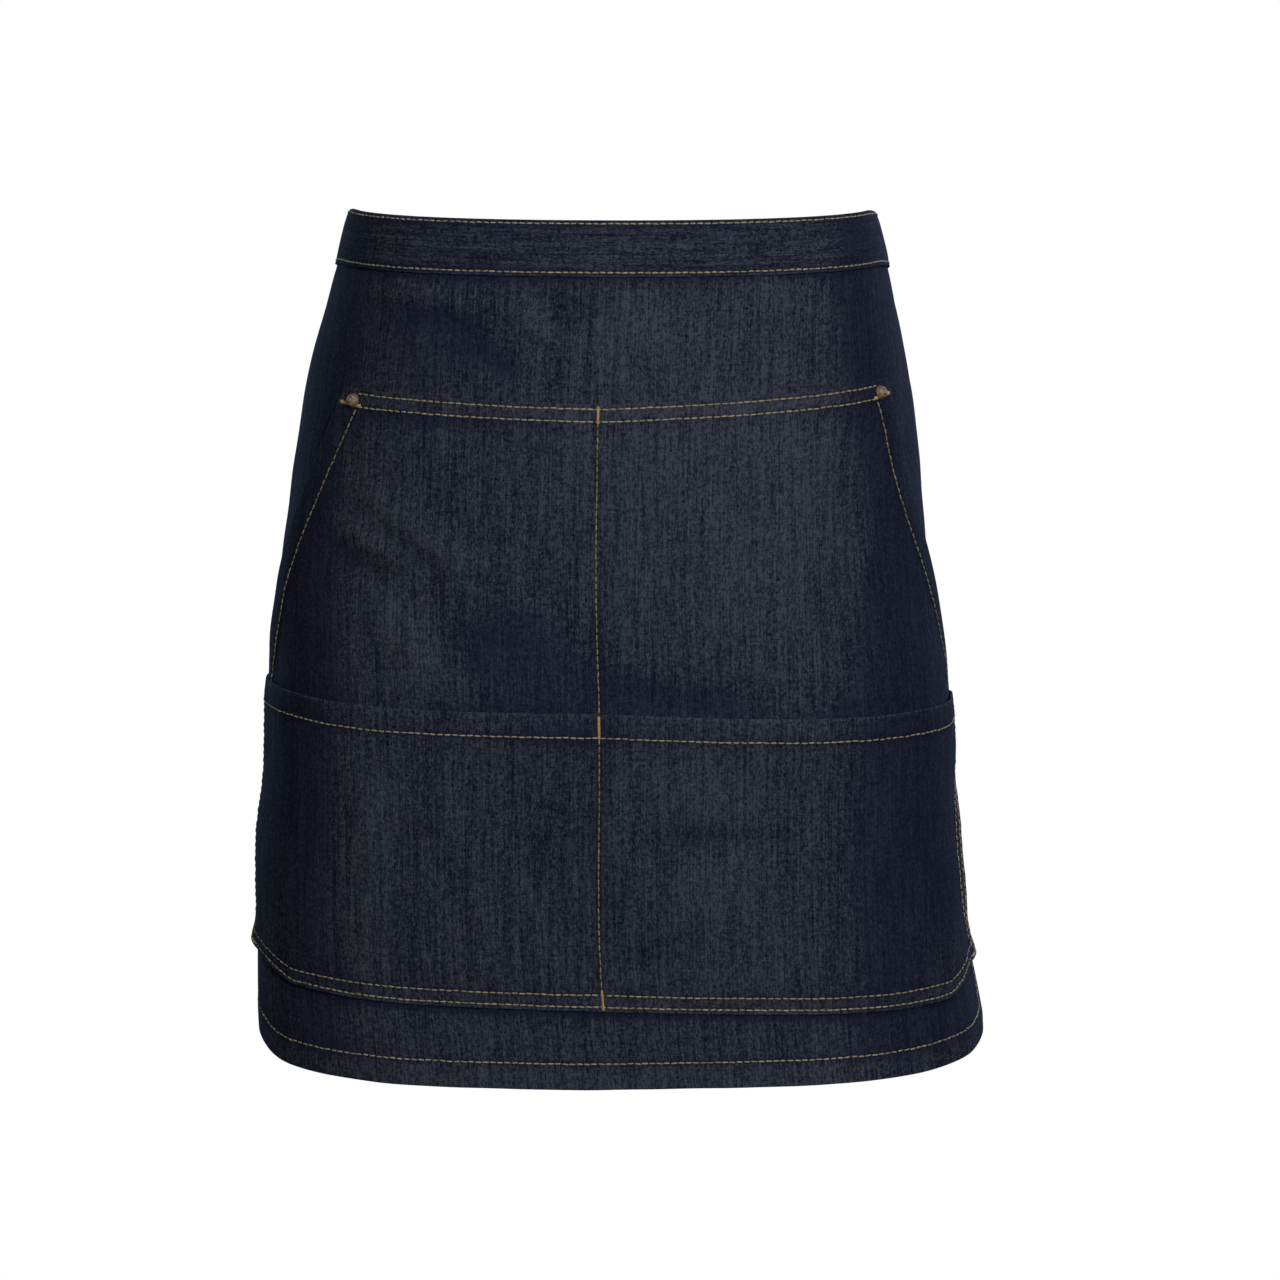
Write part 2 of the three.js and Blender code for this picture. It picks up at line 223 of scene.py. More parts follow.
# Patches of painted light and shade on the cloth's tone.
PATCHES = (
    Patch(58, 140, 80, 75, 0.17),
    Patch(25, 106, 80, 14, 0.05),
    Patch(62, 97, 60, 8, 0.06),
    Patch(16, 55, 24, 20, 0.10),
    Patch(75, 50, 50, 18, 0.06),
    Patch(-95, 62, 52, 36, -0.11),
    Patch(-30, 225, 50, 32, -0.12),
    Patch(-72, 160, 20, 50, -0.06),
    Patch(-42, 210, 17, 13, -0.07),
    Patch(10, 237, 18, 9, -0.08),
    Patch(-102, 215, 15, 28, 0.07),
    Patch(-84, 238, 28, 12, 0.06),
    Patch(-18, 264, 34, 10, -0.07),
    Patch(54, 288, 34, 24, 0.15),
    Patch(62, 346, 36, 20, 0.19),
    Patch(62, 388, 28, 15, 0.12),
    Patch(-40, 419, 70, 11, 0.06),
    Patch(-116, 320, 14, 70, 0.05),
    Patch(-95, 335, 13, 60, -0.07),
    Patch(-12, 320, 26, 60, -0.06),
    Patch(118, 325, 14, 38, -0.05),
    Patch(-200, 398, 45, 45, 0.18),
    Patch(205, 405, 45, 40, 0.13),
    Patch(152, 62, 34, 55, -0.08),
    Patch(236, 330, 24, 70, 0.12),
    Patch(-205, 330, 40, 60, 0.08),
    Patch(0, 12, 65, 14, -0.04),
    Patch(108, 12, 28, 14, 0.06),
)


class WornForm:
    """The shape that the cloth takes on its wearer, walked round from the front centre."""

    LAST_DROP = 470
    LAST_ARC = 720
    FOLD_FADE = 60.0
    BACK_START, BACK_RUN, BACK_DEPTH, BACK_SOFT = 165.0, 215.0, 32.0, 0.12
    RIPPLES, RIPPLE_RATE, RIPPLE_SIZES = 18, 0.09, (0.06, 0.15)
    ROUND_STEPS = 1501

    def __init__(self) -> None:
        """Work out the sections at every millimetre of drop."""
        self.drops = np.arange(self.LAST_DROP + 1.0)
        self.sections = self._spline(self.drops)
        arcs = np.arange(self.LAST_ARC + 1.0)
        turn = np.linspace(0.0, math.pi, self.ROUND_STEPS)
        tables, rounds = [], []
        for half_width, half_depth, squareness, _ in self.sections:
            wide = np.abs(np.sin(turn) / half_width) ** squareness
            deep = np.abs(np.cos(turn) / half_depth) ** squareness
            radius = (wide + deep) ** (-1.0 / squareness)
            x, y = radius * np.sin(turn), -radius * np.cos(turn)
            walked = np.concatenate([[0.0], np.cumsum(np.hypot(np.diff(x), np.diff(y)))])
            along_x, along_y = np.gradient(x, walked), np.gradient(y, walked)
            length = np.hypot(along_x, along_y)
            columns = (x, y, along_y / length, -along_x / length)
            tables.append(np.stack([np.interp(arcs, walked, column) for column in columns], -1))
            rounds.append(walked[-1])
        self.table = np.array(tables)
        self.rounds = np.array(rounds)
        dice = np.random.default_rng(11)
        self.ripples = [
            (
                *dice.normal(0.0, self.RIPPLE_RATE, 2), dice.uniform(0.0, 2.0 * math.pi),
                dice.uniform(*self.RIPPLE_SIZES),
            )
            for _ in range(self.RIPPLES)
        ]

    @staticmethod
    def _spline(drops: Array) -> Array:
        """Section sizes at each drop, on a cubic through the given sections.

        Args:
            drops: Drops below the waist.

        Returns:
            One row of half width, half depth, squareness and sway for each drop.
        """
        keys = np.array([s.drop for s in SECTIONS], float)
        sizes = np.array([(s.half_width, s.half_depth, s.squareness, s.sway) for s in SECTIONS])
        secants = np.diff(sizes, axis=0) / np.diff(keys)[:, None]
        slopes = np.concatenate([secants[:1], (secants[1:] + secants[:-1]) / 2.0, secants[-1:]])
        held = np.clip(drops, keys[0], keys[-1])
        i = np.clip(np.searchsorted(keys, held) - 1, 0, len(keys) - 2)
        run = (keys[i + 1] - keys[i])[:, None]
        t = ((held - keys[i]) / (keys[i + 1] - keys[i]))[:, None]
        return (
            sizes[i] * (2 * t**3 - 3 * t**2 + 1)
            + slopes[i] * run * (t**3 - 2 * t**2 + t)
            + sizes[i + 1] * (3 * t**2 - 2 * t**3)
            + slopes[i + 1] * run * (t**3 - t**2)
        )

    def half_round(self, drop: float) -> float:
        """Length from the front centre to the back centre at a drop."""
        return float(np.interp(drop, self.drops, self.rounds))

    def back_fall(self, across: Array | float) -> Array:
        """How much lower the cloth hangs behind the hips than at the front."""
        way = np.maximum(0.0, (np.abs(across) - self.BACK_START) / self.BACK_RUN)
        return self.BACK_DEPTH * way * way * (1.0 + self.BACK_SOFT) / (way + self.BACK_SOFT)

    def swell(self, across: Array, drop: Array) -> Array:
        """Height of the folds, creases and faint ripples at a place on the body.

        Args:
            across: Length round from the front centre.
            drop: True drop below the waist.

        Returns:
            Height out of the smooth form.
        """
        height = self.creased(across, drop)
        for fold in FOLDS:
            grow = ease(drop, fold.top, fold.top + self.FOLD_FADE)
            die = 1.0 - ease(drop, fold.bottom - self.FOLD_FADE, fold.bottom)
            height = height + fold.proud * np.exp(-(((across - fold.across) / fold.reach) ** 2)) * grow * die
        calm = ease(drop, 2.0, 40.0)
        for wave_across, wave_drop, phase, size in self.ripples:
            height = height + calm * size * np.sin(wave_across * across + wave_drop * drop + phase)
        return height

    def creased(self, across: Array, drop: Array) -> Array:
        """Height of the creases alone."""
        height = np.zeros(np.broadcast(across, drop).shape)
        for crease in CREASES:
            (a0, d0), (a1, d1) = crease.start, crease.end
            run = math.hypot(a1 - a0, d1 - d0)
            way = ((across - a0) * (a1 - a0) + (drop - d0) * (d1 - d0)) / run**2
            off = ((across - a0) * (d1 - d0) - (drop - d0) * (a1 - a0)) / run
            ends = ease(way, -0.15, 0.4) * (1.0 - ease(way, 0.6, 1.15))
            height = height + crease.proud * np.exp(-((off / crease.reach) ** 2)) * ends
        return height

    def point(self, across: Array, drop: Array, proud: Array) -> Array:
        """A place on the body.

        Args:
            across: Length round from the front centre.
            drop: True drop below the waist.
            proud: Height off the skirt's inner face.

        Returns:
            Points in mm, one per place, along the last axis.
        """
        across, drop, proud = np.broadcast_arrays(*(np.asarray(v, float) for v in (across, drop, proud)))
        row = np.clip(drop, 0.0, self.LAST_DROP - 1e-6)
        column = np.clip(np.abs(across), 0.0, self.LAST_ARC - 1e-6)
        r, c = row.astype(int), column.astype(int)
        down, along = (row - r)[..., None], (column - c)[..., None]
        upper = self.table[r, c] * (1 - along) + self.table[r, c + 1] * along
        lower = self.table[r + 1, c] * (1 - along) + self.table[r + 1, c + 1] * along
        x, y, out_x, out_y = np.moveaxis(upper * (1 - down) + lower * down, -1, 0)
        out = proud + self.swell(across, drop)
        side = np.where(across < 0.0, -1.0, 1.0)
        sway = np.interp(drop, self.drops, self.sections[:, 3])
        return np.stack([side * (x + out_x * out) + sway, y + out_y * out, -drop], -1)

    def cloth(self, across: Array, drop: Array, proud: Array) -> Array:
        """A place on the cut cloth, in mm on the body."""
        around = np.asarray(across, float) + WRAP_SHIFT
        return self.point(around, drop + self.back_fall(around) * (1.0 - np.asarray(drop) / LENGTH), proud)


# ---------------------------------------------------------------- finishes


class Wire:
    """A socket that can be used in sums, each of which adds a Math node."""

    def __init__(self, bench: "Bench", socket: bpy.types.NodeSocket) -> None:
        """Hold an output socket of the bench's node tree."""
        self.bench = bench
        self.socket = socket

    def _sum(self, operation: str, first: Any, second: Any) -> "Wire":
        """Add one Math node."""
        return self.bench.node("ShaderNodeMath", {"operation": operation}, {0: first, 1: second})

    def __add__(self, other: Any) -> "Wire":
        """self + other."""
        return self._sum("ADD", self, other)

    def __radd__(self, other: Any) -> "Wire":
        """other + self."""
        return self._sum("ADD", other, self)

    def __sub__(self, other: Any) -> "Wire":
        """self - other."""
        return self._sum("SUBTRACT", self, other)

    def __rsub__(self, other: Any) -> "Wire":
        """other - self."""
        return self._sum("SUBTRACT", other, self)

    def __mul__(self, other: Any) -> "Wire":
        """self * other."""
        return self._sum("MULTIPLY", self, other)

    def __rmul__(self, other: Any) -> "Wire":
        """other * self."""
        return self._sum("MULTIPLY", other, self)

    def __pow__(self, other: Any) -> "Wire":
        """self ** other."""
        return self._sum("POWER", self, other)

    def whole(self) -> "Wire":
        """The whole part."""
        return self._sum("FLOOR", self, 0.0)

    def part(self) -> "Wire":
        """What is left over the whole part."""
        return self._sum("FRACT", self, 0.0)


class Bench:
    """The node tree of a material or a world, with a single way to add nodes to it."""

    def __init__(self, name: str, shelf: str = "materials") -> None:
        """Start a material, or a world, with an empty tree."""
        self.owner = getattr(bpy.data, shelf).new(name)
        self.owner.use_nodes = True
        self.tree = self.owner.node_tree
        self.tree.nodes.clear()

    def node(
        self, kind: str, settings: dict[str, Any] | None = None, sockets: dict[Any, Any] | None = None,
        out: int | str = 0,
    ) -> Wire:
        """Add a node.

        Args:
            kind: The node's type.
            settings: Properties set first. "stops" gives a colour ramp's (place, colour) pairs.
            sockets: Values or wires for its inputs, by name or number.
            out: Which output to hand back.

        Returns:
            The chosen output.
        """
        node = self.tree.nodes.new(kind)
        for key, value in (settings or {}).items():
            if key == "stops":
                self._stops(node.color_ramp, value)
            else:
                setattr(node, key, value)
        for key, value in (sockets or {}).items():
            if isinstance(value, Wire):
                self.tree.links.new(value.socket, node.inputs[key])
            else:
                node.inputs[key].default_value = value
        return Wire(self, node.outputs[out]) if len(node.outputs) else Wire(self, None)

    @staticmethod
    def _stops(ramp: bpy.types.ColorRamp, stops: Sequence[tuple[float, Colour]]) -> None:
        """Set a colour ramp's stops."""
        while len(ramp.elements) < len(stops):
            ramp.elements.new(1.0)
        for element, (place, colour) in zip(ramp.elements, stops):
            element.position = place
            element.color = (*colour, 1.0)

    def noise(self, vector: Wire, size: tuple[float, float, float], seed: float, detail: float = 2.0) -> Wire:
        """Noise whose grains have a given size.

        Args:
            vector: Coordinates in metres.
            size: A grain's size along each axis, in mm.
            seed: Shift of the pattern.
            detail: Levels of finer noise.

        Returns:
            Values about 0.5.
        """
        scaled = self.node(
            "ShaderNodeVectorMath", {"operation": "MULTIPLY_ADD"},
            {0: vector, 1: tuple(1.0 / (edge * MM) for edge in size), 2: (seed, seed * 0.7, seed * 0.3)},
        )
        return self.node(
            "ShaderNodeTexNoise", {"noise_dimensions": "3D"},
            {"Vector": scaled, "Scale": 1.0, "Detail": detail},
        )

    def attribute(self, name: str) -> Wire:
        """A number kept at the piece's corners."""
        return self.node("ShaderNodeAttribute", {"attribute_name": name}, out="Fac")

    def clamp(self, value: Wire, low: float, high: float) -> Wire:
        """A value held between two others."""
        return self.node("ShaderNodeClamp", None, {"Value": value, "Min": low, "Max": high})

    def ramp(self, tone: Wire, *stops: tuple[float, Colour]) -> Wire:
        """A colour for each tone."""
        return self.node("ShaderNodeValToRGB", {"stops": stops}, {0: tone})

    def finish(self, shader: Wire) -> bpy.types.Material:
        """Join the shader to the output."""
        self.node("ShaderNodeOutputMaterial", None, {"Surface": shader})
        return self.owner

    def coat(
        self, height: Wire, strength: float, depth: float, sockets: dict[str, Any],
    ) -> bpy.types.Material:
        """Finish with a surface that has a grain.

        Args:
            height: Height of the grain.
            strength: How strongly it shows.
            depth: Its depth in mm.
            sockets: The surface's other inputs.

        Returns:
            The material.
        """
        raised = {"Strength": strength, "Distance": depth * MM, "Height": height}
        bump = self.node("ShaderNodeBump", None, raised, out="Normal")
        return self.finish(self.node("ShaderNodeBsdfPrincipled", None, {**sockets, "Normal": bump}))


@dataclass(frozen=True)
class Denim:
    """Twill of dyed upright yarns: each float has its own tone, and slubs and rubbing cloud the whole. Where
    the tone is low, a navy painted shade is mixed in.
    """

    name: str
    deep: Colour
    body: Colour
    pale: Colour
    flecks: float = 1.0
    clouds: float = 1.0
    seed: float = 0.0
    yarn: float = 0.72
    float_length: float = 1.6
    # Navy painted shade colour, mixed into the dye where the tone is low round the sides.
    shade: Colour = (0.0090, 0.0118, 0.0370)

    WARP, WEFT, SLUB, FLECK, CLOUD = 0.58, 0.32, 1.1, 0.5, 0.14

    def _floats(
        self, bench: Bench, over: Wire, along: Wire, width: float, length: float,
    ) -> tuple[Wire, Wire]:
        """A tone for each float of a set of yarns, and how high its back stands.

        Args:
            bench: The material.
            over: Place across the yarns, in metres.
            along: Place along them.
            width: A yarn's width in mm.
            length: A float's length in mm.

        Returns:
            The tone and the height, each from 0 to 1.
        """
        place = over * (1.0 / (width * MM)) + self.seed
        start = bench.node("ShaderNodeTexWhiteNoise", {"noise_dimensions": "1D"}, {"W": place.whole()})
        step = along * (1.0 / (length * MM)) + start * 7.0
        cell = bench.node("ShaderNodeCombineXYZ", None, {0: place.whole(), 1: step.whole()})
        tint = bench.node("ShaderNodeTexWhiteNoise", {"noise_dimensions": "2D"}, {"Vector": cell})
        return tint, place.part() * (1.0 - place.part()) * (step.part() * (1.0 - step.part())) ** 0.5 * 8.0

    def make(self) -> bpy.types.Material:
        """Build the material on the piece's "cloth" map, whose second axis runs along the yarns."""
        bench = Bench(self.name)
        cloth = bench.node("ShaderNodeUVMap", {"uv_map": "cloth"})
        # The cloth's wear and its painted light and shade, kept at the corners.
        fade = bench.attribute("fade")
        across = bench.node("ShaderNodeSeparateXYZ", None, {0: cloth}, out="X")
        along = bench.node("ShaderNodeSeparateXYZ", None, {0: cloth}, out="Y")
        warp, crown = self._floats(bench, across, along, self.yarn, self.float_length)
        weft, _ = self._floats(bench, along, across, 0.9 * self.yarn, 1.6 * self.float_length)
        slub = bench.noise(cloth, (1.0, 34.0, 1.0), self.seed + 1.3, 1.0)
        fleck = bench.noise(cloth, (0.9, 1.2, 1.0), self.seed + 9.1, 1.0)
        cloud = bench.noise(cloth, (22.0, 38.0, 1.0), self.seed + 2.7, 2.0)
        grain = (warp - 0.5) * self.WARP + (weft - 0.5) * self.WEFT
        grain = grain + (slub - 0.5) * self.SLUB + (fleck - 0.5) * self.FLECK
        vivid = bench.clamp((fade - 0.22) * 5.0, 0.8, 1.0)
        tone = fade + grain * vivid * self.flecks + (cloud - 0.5) * (self.CLOUD * self.clouds)
        ramp = bench.ramp(tone, (0.05, self.deep), (0.5, self.body), (1.0, self.pale))
        # Painted shade: the navy shade colour is mixed in where the tone is low, most round the sides and
        # less in the darkest lines.
        shaded = bench.clamp((0.44 - fade) * 4.0, 0.0, 0.42) * bench.clamp(fade * 5.0, 0.0, 1.0)
        mix = {0: shaded, 6: ramp, 7: (*self.shade, 1.0)}
        dyed = bench.node("ShaderNodeMix", {"data_type": "RGBA"}, mix, out=2)
        return bench.coat(
            crown + slub * 0.4 + fleck * 0.5, 0.45, 0.25,
            {"Base Color": dyed, "Roughness": 0.98 - 0.16 * tone, "Specular IOR Level": 0.12},
        )


@dataclass(frozen=True)
class SewingThread:
    """Twisted thread whose stitches differ a little in tone."""

    name: str
    dull: Colour
    bright: Colour

    def make(self) -> bpy.types.Material:
        """Build the material on each stitch's "tone" attribute."""
        bench = Bench(self.name)
        place = bench.node("ShaderNodeTexCoord", out="Object")
        fibre = bench.noise(place, (0.35, 0.35, 0.35), 3.1, 2.0)
        tone = bench.attribute("tone") + (fibre - 0.5) * 0.6
        mixed = bench.ramp(tone, (0.1, self.dull), (0.9, self.bright))
        return bench.coat(
            fibre, 0.4, 0.1, {"Base Color": mixed, "Roughness": 0.5 + 0.3 * fibre, "Specular IOR Level": 0.35}
        )


@dataclass(frozen=True)
class AgedBrass:
    """Aged brass, paler where it is worn and dark at its stains and in its hollows, where patina and painted
    shade lie.
    """

    name: str
    stain_and_shade: Colour
    metal: Colour
    worn: Colour

    def make(self) -> bpy.types.Material:
        """Build the material on Object coordinates and the "wear" attribute, which also holds the painted
        shade of the sunk ring.
        """
        bench = Bench(self.name)
        place = bench.node("ShaderNodeTexCoord", out="Object")
        stain = bench.noise(place, (1.6, 1.6, 1.6), 0.4, 3.0)
        pits = bench.noise(place, (0.4, 0.4, 0.4), 7.7, 2.0)
        tone = bench.attribute("wear") * 0.75 + (stain - 0.5) * 0.9 + (pits - 0.5) * 0.35 + 0.1
        colour = bench.ramp(tone, (0.12, self.stain_and_shade), (0.5, self.metal), (0.95, self.worn))
        return bench.coat(
            stain + pits * 0.6, 0.35, 0.12,
            {"Base Color": colour, "Metallic": 0.4, "Roughness": 0.75 - 0.2 * tone},
        )


FACE = Denim("denim_face", (0.0050, 0.0072, 0.0170), (0.0242, 0.0288, 0.0455), (0.058, 0.065, 0.086))
STRIP = Denim(
    "denim_strip", (0.0050, 0.0072, 0.0170), (0.0234, 0.0280, 0.0445), (0.056, 0.063, 0.084), 1.05, 0.7, 4.0
)
REVERSE = Denim(
    "denim_reverse", (0.05, 0.058, 0.08), (0.115, 0.125, 0.155), (0.20, 0.21, 0.235), 0.9, 0.6, 8.0,
    # The reverse's own painted shade colour for its dim sides.
    shade=(0.075, 0.084, 0.11),
)
SEAM_THREAD = SewingThread("seam_thread", (0.160, 0.122, 0.052), (0.44, 0.380, 0.230))
TACK_THREAD = SewingThread("tack_thread", (0.30, 0.165, 0.04), (0.66, 0.44, 0.17))
BRASS = AgedBrass("aged_brass", (0.05, 0.034, 0.016), (0.27, 0.205, 0.12), (0.55, 0.46, 0.32))


# ---------------------------------------------------------------- meshes


def mesh_object(name: str, points: Array, faces: Sequence[Sequence[int]]) -> bpy.types.Object:
    """Make a smooth-shaded object at the origin.

    Args:
        name: The piece's name.
        points: Corners in mm.
        faces: Corner numbers of each face.

    Returns:
        The linked object.
    """
    mesh = bpy.data.meshes.new(name)
    mesh.from_pydata((np.asarray(points, float) * MM).tolist(), [], faces)
    mesh.polygons.foreach_set("use_smooth", np.ones(len(mesh.polygons), bool))
    mesh.update()
    piece = bpy.data.objects.new(name, mesh)
    bpy.context.scene.collection.objects.link(piece)
    return piece


def point_attribute(piece: bpy.types.Object, name: str, values: Array) -> None:
    """Store one number per corner of a piece."""
    attribute = piece.data.attributes.new(name, "FLOAT", "POINT")
    attribute.data.foreach_set("value", np.asarray(values, np.float32).ravel())


@dataclass
class Wall:
    """A closed piece of cloth: an outer and an inner grid joined round their rim."""

    outer: Array
    inner: Array
    laid: Array
    fade: Array
    turned: Array

    def build(self, name: str, face: bpy.types.Material, reverse: bpy.types.Material) -> bpy.types.Object:
        """Make the mesh.

        Args:
            name: The piece's name.
            face: Finish of the cloth's right side.
            reverse: Finish of its wrong side.

        Returns:
            The piece, with its "cloth" map and "fade" attribute, which holds the cloth's wear and its painted
            light and shade.
        """
        columns, rows = self.outer.shape[:2]
        count = columns * rows
        grid = np.arange(count).reshape(columns, rows)
        a, b, c, d = grid[:-1, :-1], grid[:-1, 1:], grid[1:, 1:], grid[1:, :-1]
        out_faces = np.stack([a, b, c, d], -1).reshape(-1, 4)
        in_faces = np.stack([a, d, c, b], -1).reshape(-1, 4) + count
        rims = [
            self._rim(grid[:, 0], count), self._rim(grid[::-1, -1], count),
            self._rim(grid[0, ::-1], count), self._rim(grid[-1, :], count),
        ]
        faces = np.concatenate([out_faces, in_faces, *rims])
        points = np.concatenate([self.outer.reshape(-1, 3), self.inner.reshape(-1, 3)])
        wrong = np.zeros(len(faces), np.int32)
        wrong[len(out_faces):len(out_faces) + len(in_faces)] = ~self.turned.reshape(-1)
        if self._volume(points, faces) < 0.0:
            faces = faces[:, ::-1]
        piece = mesh_object(name, points, faces.tolist())
        piece.data.materials.append(face)
        piece.data.materials.append(reverse)
        piece.data.polygons.foreach_set("material_index", wrong)
        point_attribute(piece, "fade", np.concatenate([self.fade.reshape(-1)] * 2))
        laid = np.concatenate([self.laid.reshape(-1, 2)] * 2) * MM
        corners = np.empty(len(piece.data.loops), np.int32)
        piece.data.loops.foreach_get("vertex_index", corners)
        chart = piece.data.uv_layers.new(name="cloth")
        chart.data.foreach_set("uv", laid[corners].astype(np.float32).ravel())
        return piece

    @staticmethod
    def _rim(edge: Array, count: int) -> Array:
        """Faces that join the two grids along one edge."""
        return np.stack([edge[:-1], edge[1:], edge[1:] + count, edge[:-1] + count], -1)

    @staticmethod
    def _volume(points: Array, faces: Array) -> float:
        """Signed volume, which is above 0 when the faces point outwards."""
        p, q, r, s = (points[faces[:, i]] for i in range(4))
        return sum(float((p * np.cross(*sides)).sum()) for sides in ((q, r), (r, s)))


@dataclass
class SewnRow:
    """A row of stitches, by its corners on the cut cloth."""

    corners: Sequence[tuple[float, float]]
    through: bool = False
    sunk: float = 1.0
    shine: float = 0.55

    def near(self, across: Array, drop: Array) -> tuple[Array, Array]:
        """Distance from places on the cloth to the row, and how far along it they lie.

        Args:
            across: Places across the cloth.
            drop: Their drops.

        Returns:
            The distance and the length walked along the row.
        """
        best = np.full(np.broadcast(across, drop).shape, 1e6)
        along, walked = np.zeros(best.shape), 0.0
        for (a0, d0), (a1, d1) in zip(self.corners, self.corners[1:]):
            run = math.hypot(a1 - a0, d1 - d0)
            way = np.clip(((across - a0) * (a1 - a0) + (drop - d0) * (d1 - d0)) / run**2, 0.0, 1.0)
            gap = np.hypot(across - a0 - way * (a1 - a0), drop - d0 - way * (d1 - d0))
            closer = gap < best
            best = np.where(closer, gap, best)
            along = np.where(closer, walked + way * run, along)
            walked += run
        return best, along

    def walk(self, pitch: float) -> tuple[Array, Array]:
        """Middles of the stitches and the way that each one points.

        Args:
            pitch: Length from one stitch to the next.

        Returns:
            Places on the cloth and unit directions on it.
        """
        corners = np.array(self.corners, float)
        runs = np.hypot(*np.diff(corners, axis=0).T)
        walked = np.concatenate([[0.0], np.cumsum(runs)])
        count = max(1, round(walked[-1] / pitch))
        middles = (np.arange(count) + 0.5) * walked[-1] / count
        ahead, behind = (np.clip(middles + step, 0.0, walked[-1]) for step in (0.8, -0.8))
        places, front, rear = (
            np.stack([np.interp(lengths, walked, column) for column in corners.T], -1)
            for lengths in (middles, ahead, behind)
        )
        ways = front - rear
        return places, ways / np.linalg.norm(ways, axis=1, keepdims=True)


@dataclass
class Panel(ABC):
    """A sewn panel of the apron: its cut, how it lies, and the rows of stitches that sink into it."""

    form: WornForm
    name: str = ""
    node: str = ""
    slot: str = "denim"
    flat: tuple[float, float] = (0.0, 0.0)
    area: float | None = None
    held: Held = Held.HUNG
    rests_on: tuple[str, ...] = ()
    map_shift: float = 0.0
    round_over: float = 0.7
    rows: list[SewnRow] = field(default_factory=list)

    # Depth of the painted shade in the hollows along the stitched rows.
    ROW_SHADE = 0.16
    PULL_NEAR, PULL_WIDE, PUCKER = 0.24, 0.2, 0.085
    # Tone round the sides (painted shade), painted light added over the front, and paleness per mm of crease
    # height (rubbing and painted light and shade).
    DEEP, FRONT, RIDGE = 0.28, 0.21, 0.05
    THINNEST = 0.25

    @abstractmethod
    def grid(self) -> tuple[Array, Array]:
        """Places across and down the cut cloth, as two grids."""

    def heights(self, across: Array, drop: Array) -> tuple[Array, Array]:
        """Inner and outer height off the skirt's inner face: here one flat layer of cloth."""
        return np.zeros(across.shape), np.full(across.shape, CLOTH)

    @abstractmethod
    def edge_gap(self, across: Array, drop: Array) -> Array:
        """Distance to the nearest edge of the cut."""

    def settle(self, across: Array, drop: Array) -> tuple[Array, Array]:
        """Where a place on the flat cut comes to lie on the worn cloth."""
        return across, drop

    def turned(self, across: Array, drop: Array) -> Array:
        """Where the inner face is a hem's turned strip, which shows the cloth's right side."""
        return np.zeros(across.shape, bool)

    def worn(self, across: Array, drop: Array) -> Array:
        """Extra paleness where the cloth is rubbed, and painted highlights and shadows; none for a plain
        panel.
        """
        return np.zeros(across.shape)

    def relief(self, across: Array, drop: Array) -> Array:
        """How the stitched rows pull the cloth down and pucker it.

        Args:
            across: Places across the cloth.
            drop: Their drops.

        Returns:
            Height to add to the outer face.
        """
        height = np.zeros(across.shape)
        for number, row in enumerate(self.rows):
            gap, along = row.near(across, drop)
            pull = self.PULL_NEAR * np.exp(-(gap**2)) + self.PULL_WIDE * np.exp(-((gap / 3.6) ** 2))
            pucker = np.sin(along / 1.45 + number) + 0.8 * np.sin(along / 2.3 + 2.1 * number)
            height = height + row.sunk * (self.PUCKER * pucker * np.exp(-((gap / 4.5) ** 2)) - pull)
        return height

    def painted_row_shade(self, across: Array, drop: Array) -> Array:
        """1 in the hollows along the stitched rows, where shade is painted into the cloth's tone."""
        gaps = (row.near(across, drop)[0] for row in self.rows)
        return sum((np.exp(-((gap / 1.7) ** 2)) for gap in gaps), np.zeros(across.shape))

    def _faces(self, across: Array, drop: Array) -> tuple[Array, Array]:
        """Inner and outer heights with the stitching's relief and rounded edges."""
        inner, outer = self.heights(across, drop)
        outer = np.maximum(outer + self.relief(across, drop), inner + self.THINNEST)
        share = np.maximum(EDGE_SHARE, rounded(self.edge_gap(across, drop), self.round_over))
        middle, half = (outer + inner) / 2.0, (outer - inner) / 2.0
        return middle - half * share, middle + half * share

    def surface(self, across: Array, drop: Array) -> Array:
        """Points on the outer face, in mm."""
        _, outer = self._faces(across, drop)
        return self.form.cloth(*self.settle(across, drop), outer)

    def underside(self, across: Array, drop: Array) -> Array:
        """Points on the inner face, in mm."""
        inner, _ = self._faces(across, drop)
        return self.form.cloth(*self.settle(across, drop), inner)

    def build(self, face: bpy.types.Material, reverse: bpy.types.Material) -> None:
        """Make the panel.

        Args:
            face: Finish of the cloth's right side.
            reverse: Finish of its wrong side.
        """
        across, drop = self.grid()
        middles = [(places[:-1, :-1] + places[1:, 1:]) / 2.0 for places in (across, drop)]
        shape, chart = self.sheets(across, drop), self.chart(across, drop)
        wall = Wall(*shape, chart, self.paleness(across, drop), self.turned(*middles))
        make_up(wall, self, face, reverse)

    def sheets(self, across: Array, drop: Array) -> tuple[Array, Array]:
        """Points on the outer and the inner face, in mm."""
        return self.surface(across, drop), self.underside(across, drop)

    def chart(self, across: Array, drop: Array) -> Array:
        """Places on the "cloth" map."""
        return np.stack([across + self.map_shift, -drop], -1)

    def paleness(self, across: Array, drop: Array) -> Array:
        """How pale the cloth is: its rubbing, and the light and shade painted for where it lies and in the
        hollows along its rows.
        """
        around, low = self.settle(across, drop)
        # Rubbing and painted light from each panel, less the painted shade along the rows.
        rubbed = self.worn(across, drop) - self.ROW_SHADE * self.painted_row_shade(across, drop)
        return self.fade(around + WRAP_SHIFT, low) + rubbed

    def fade(self, around: Array, drop: Array) -> Array:
        """Paleness of the cloth: painted light over the front and painted shade round the sides, paler on the
        creases' ridges and darker in their valleys as rubbing and painted light and shade, and the painted
        light and shade of the patches.
        """
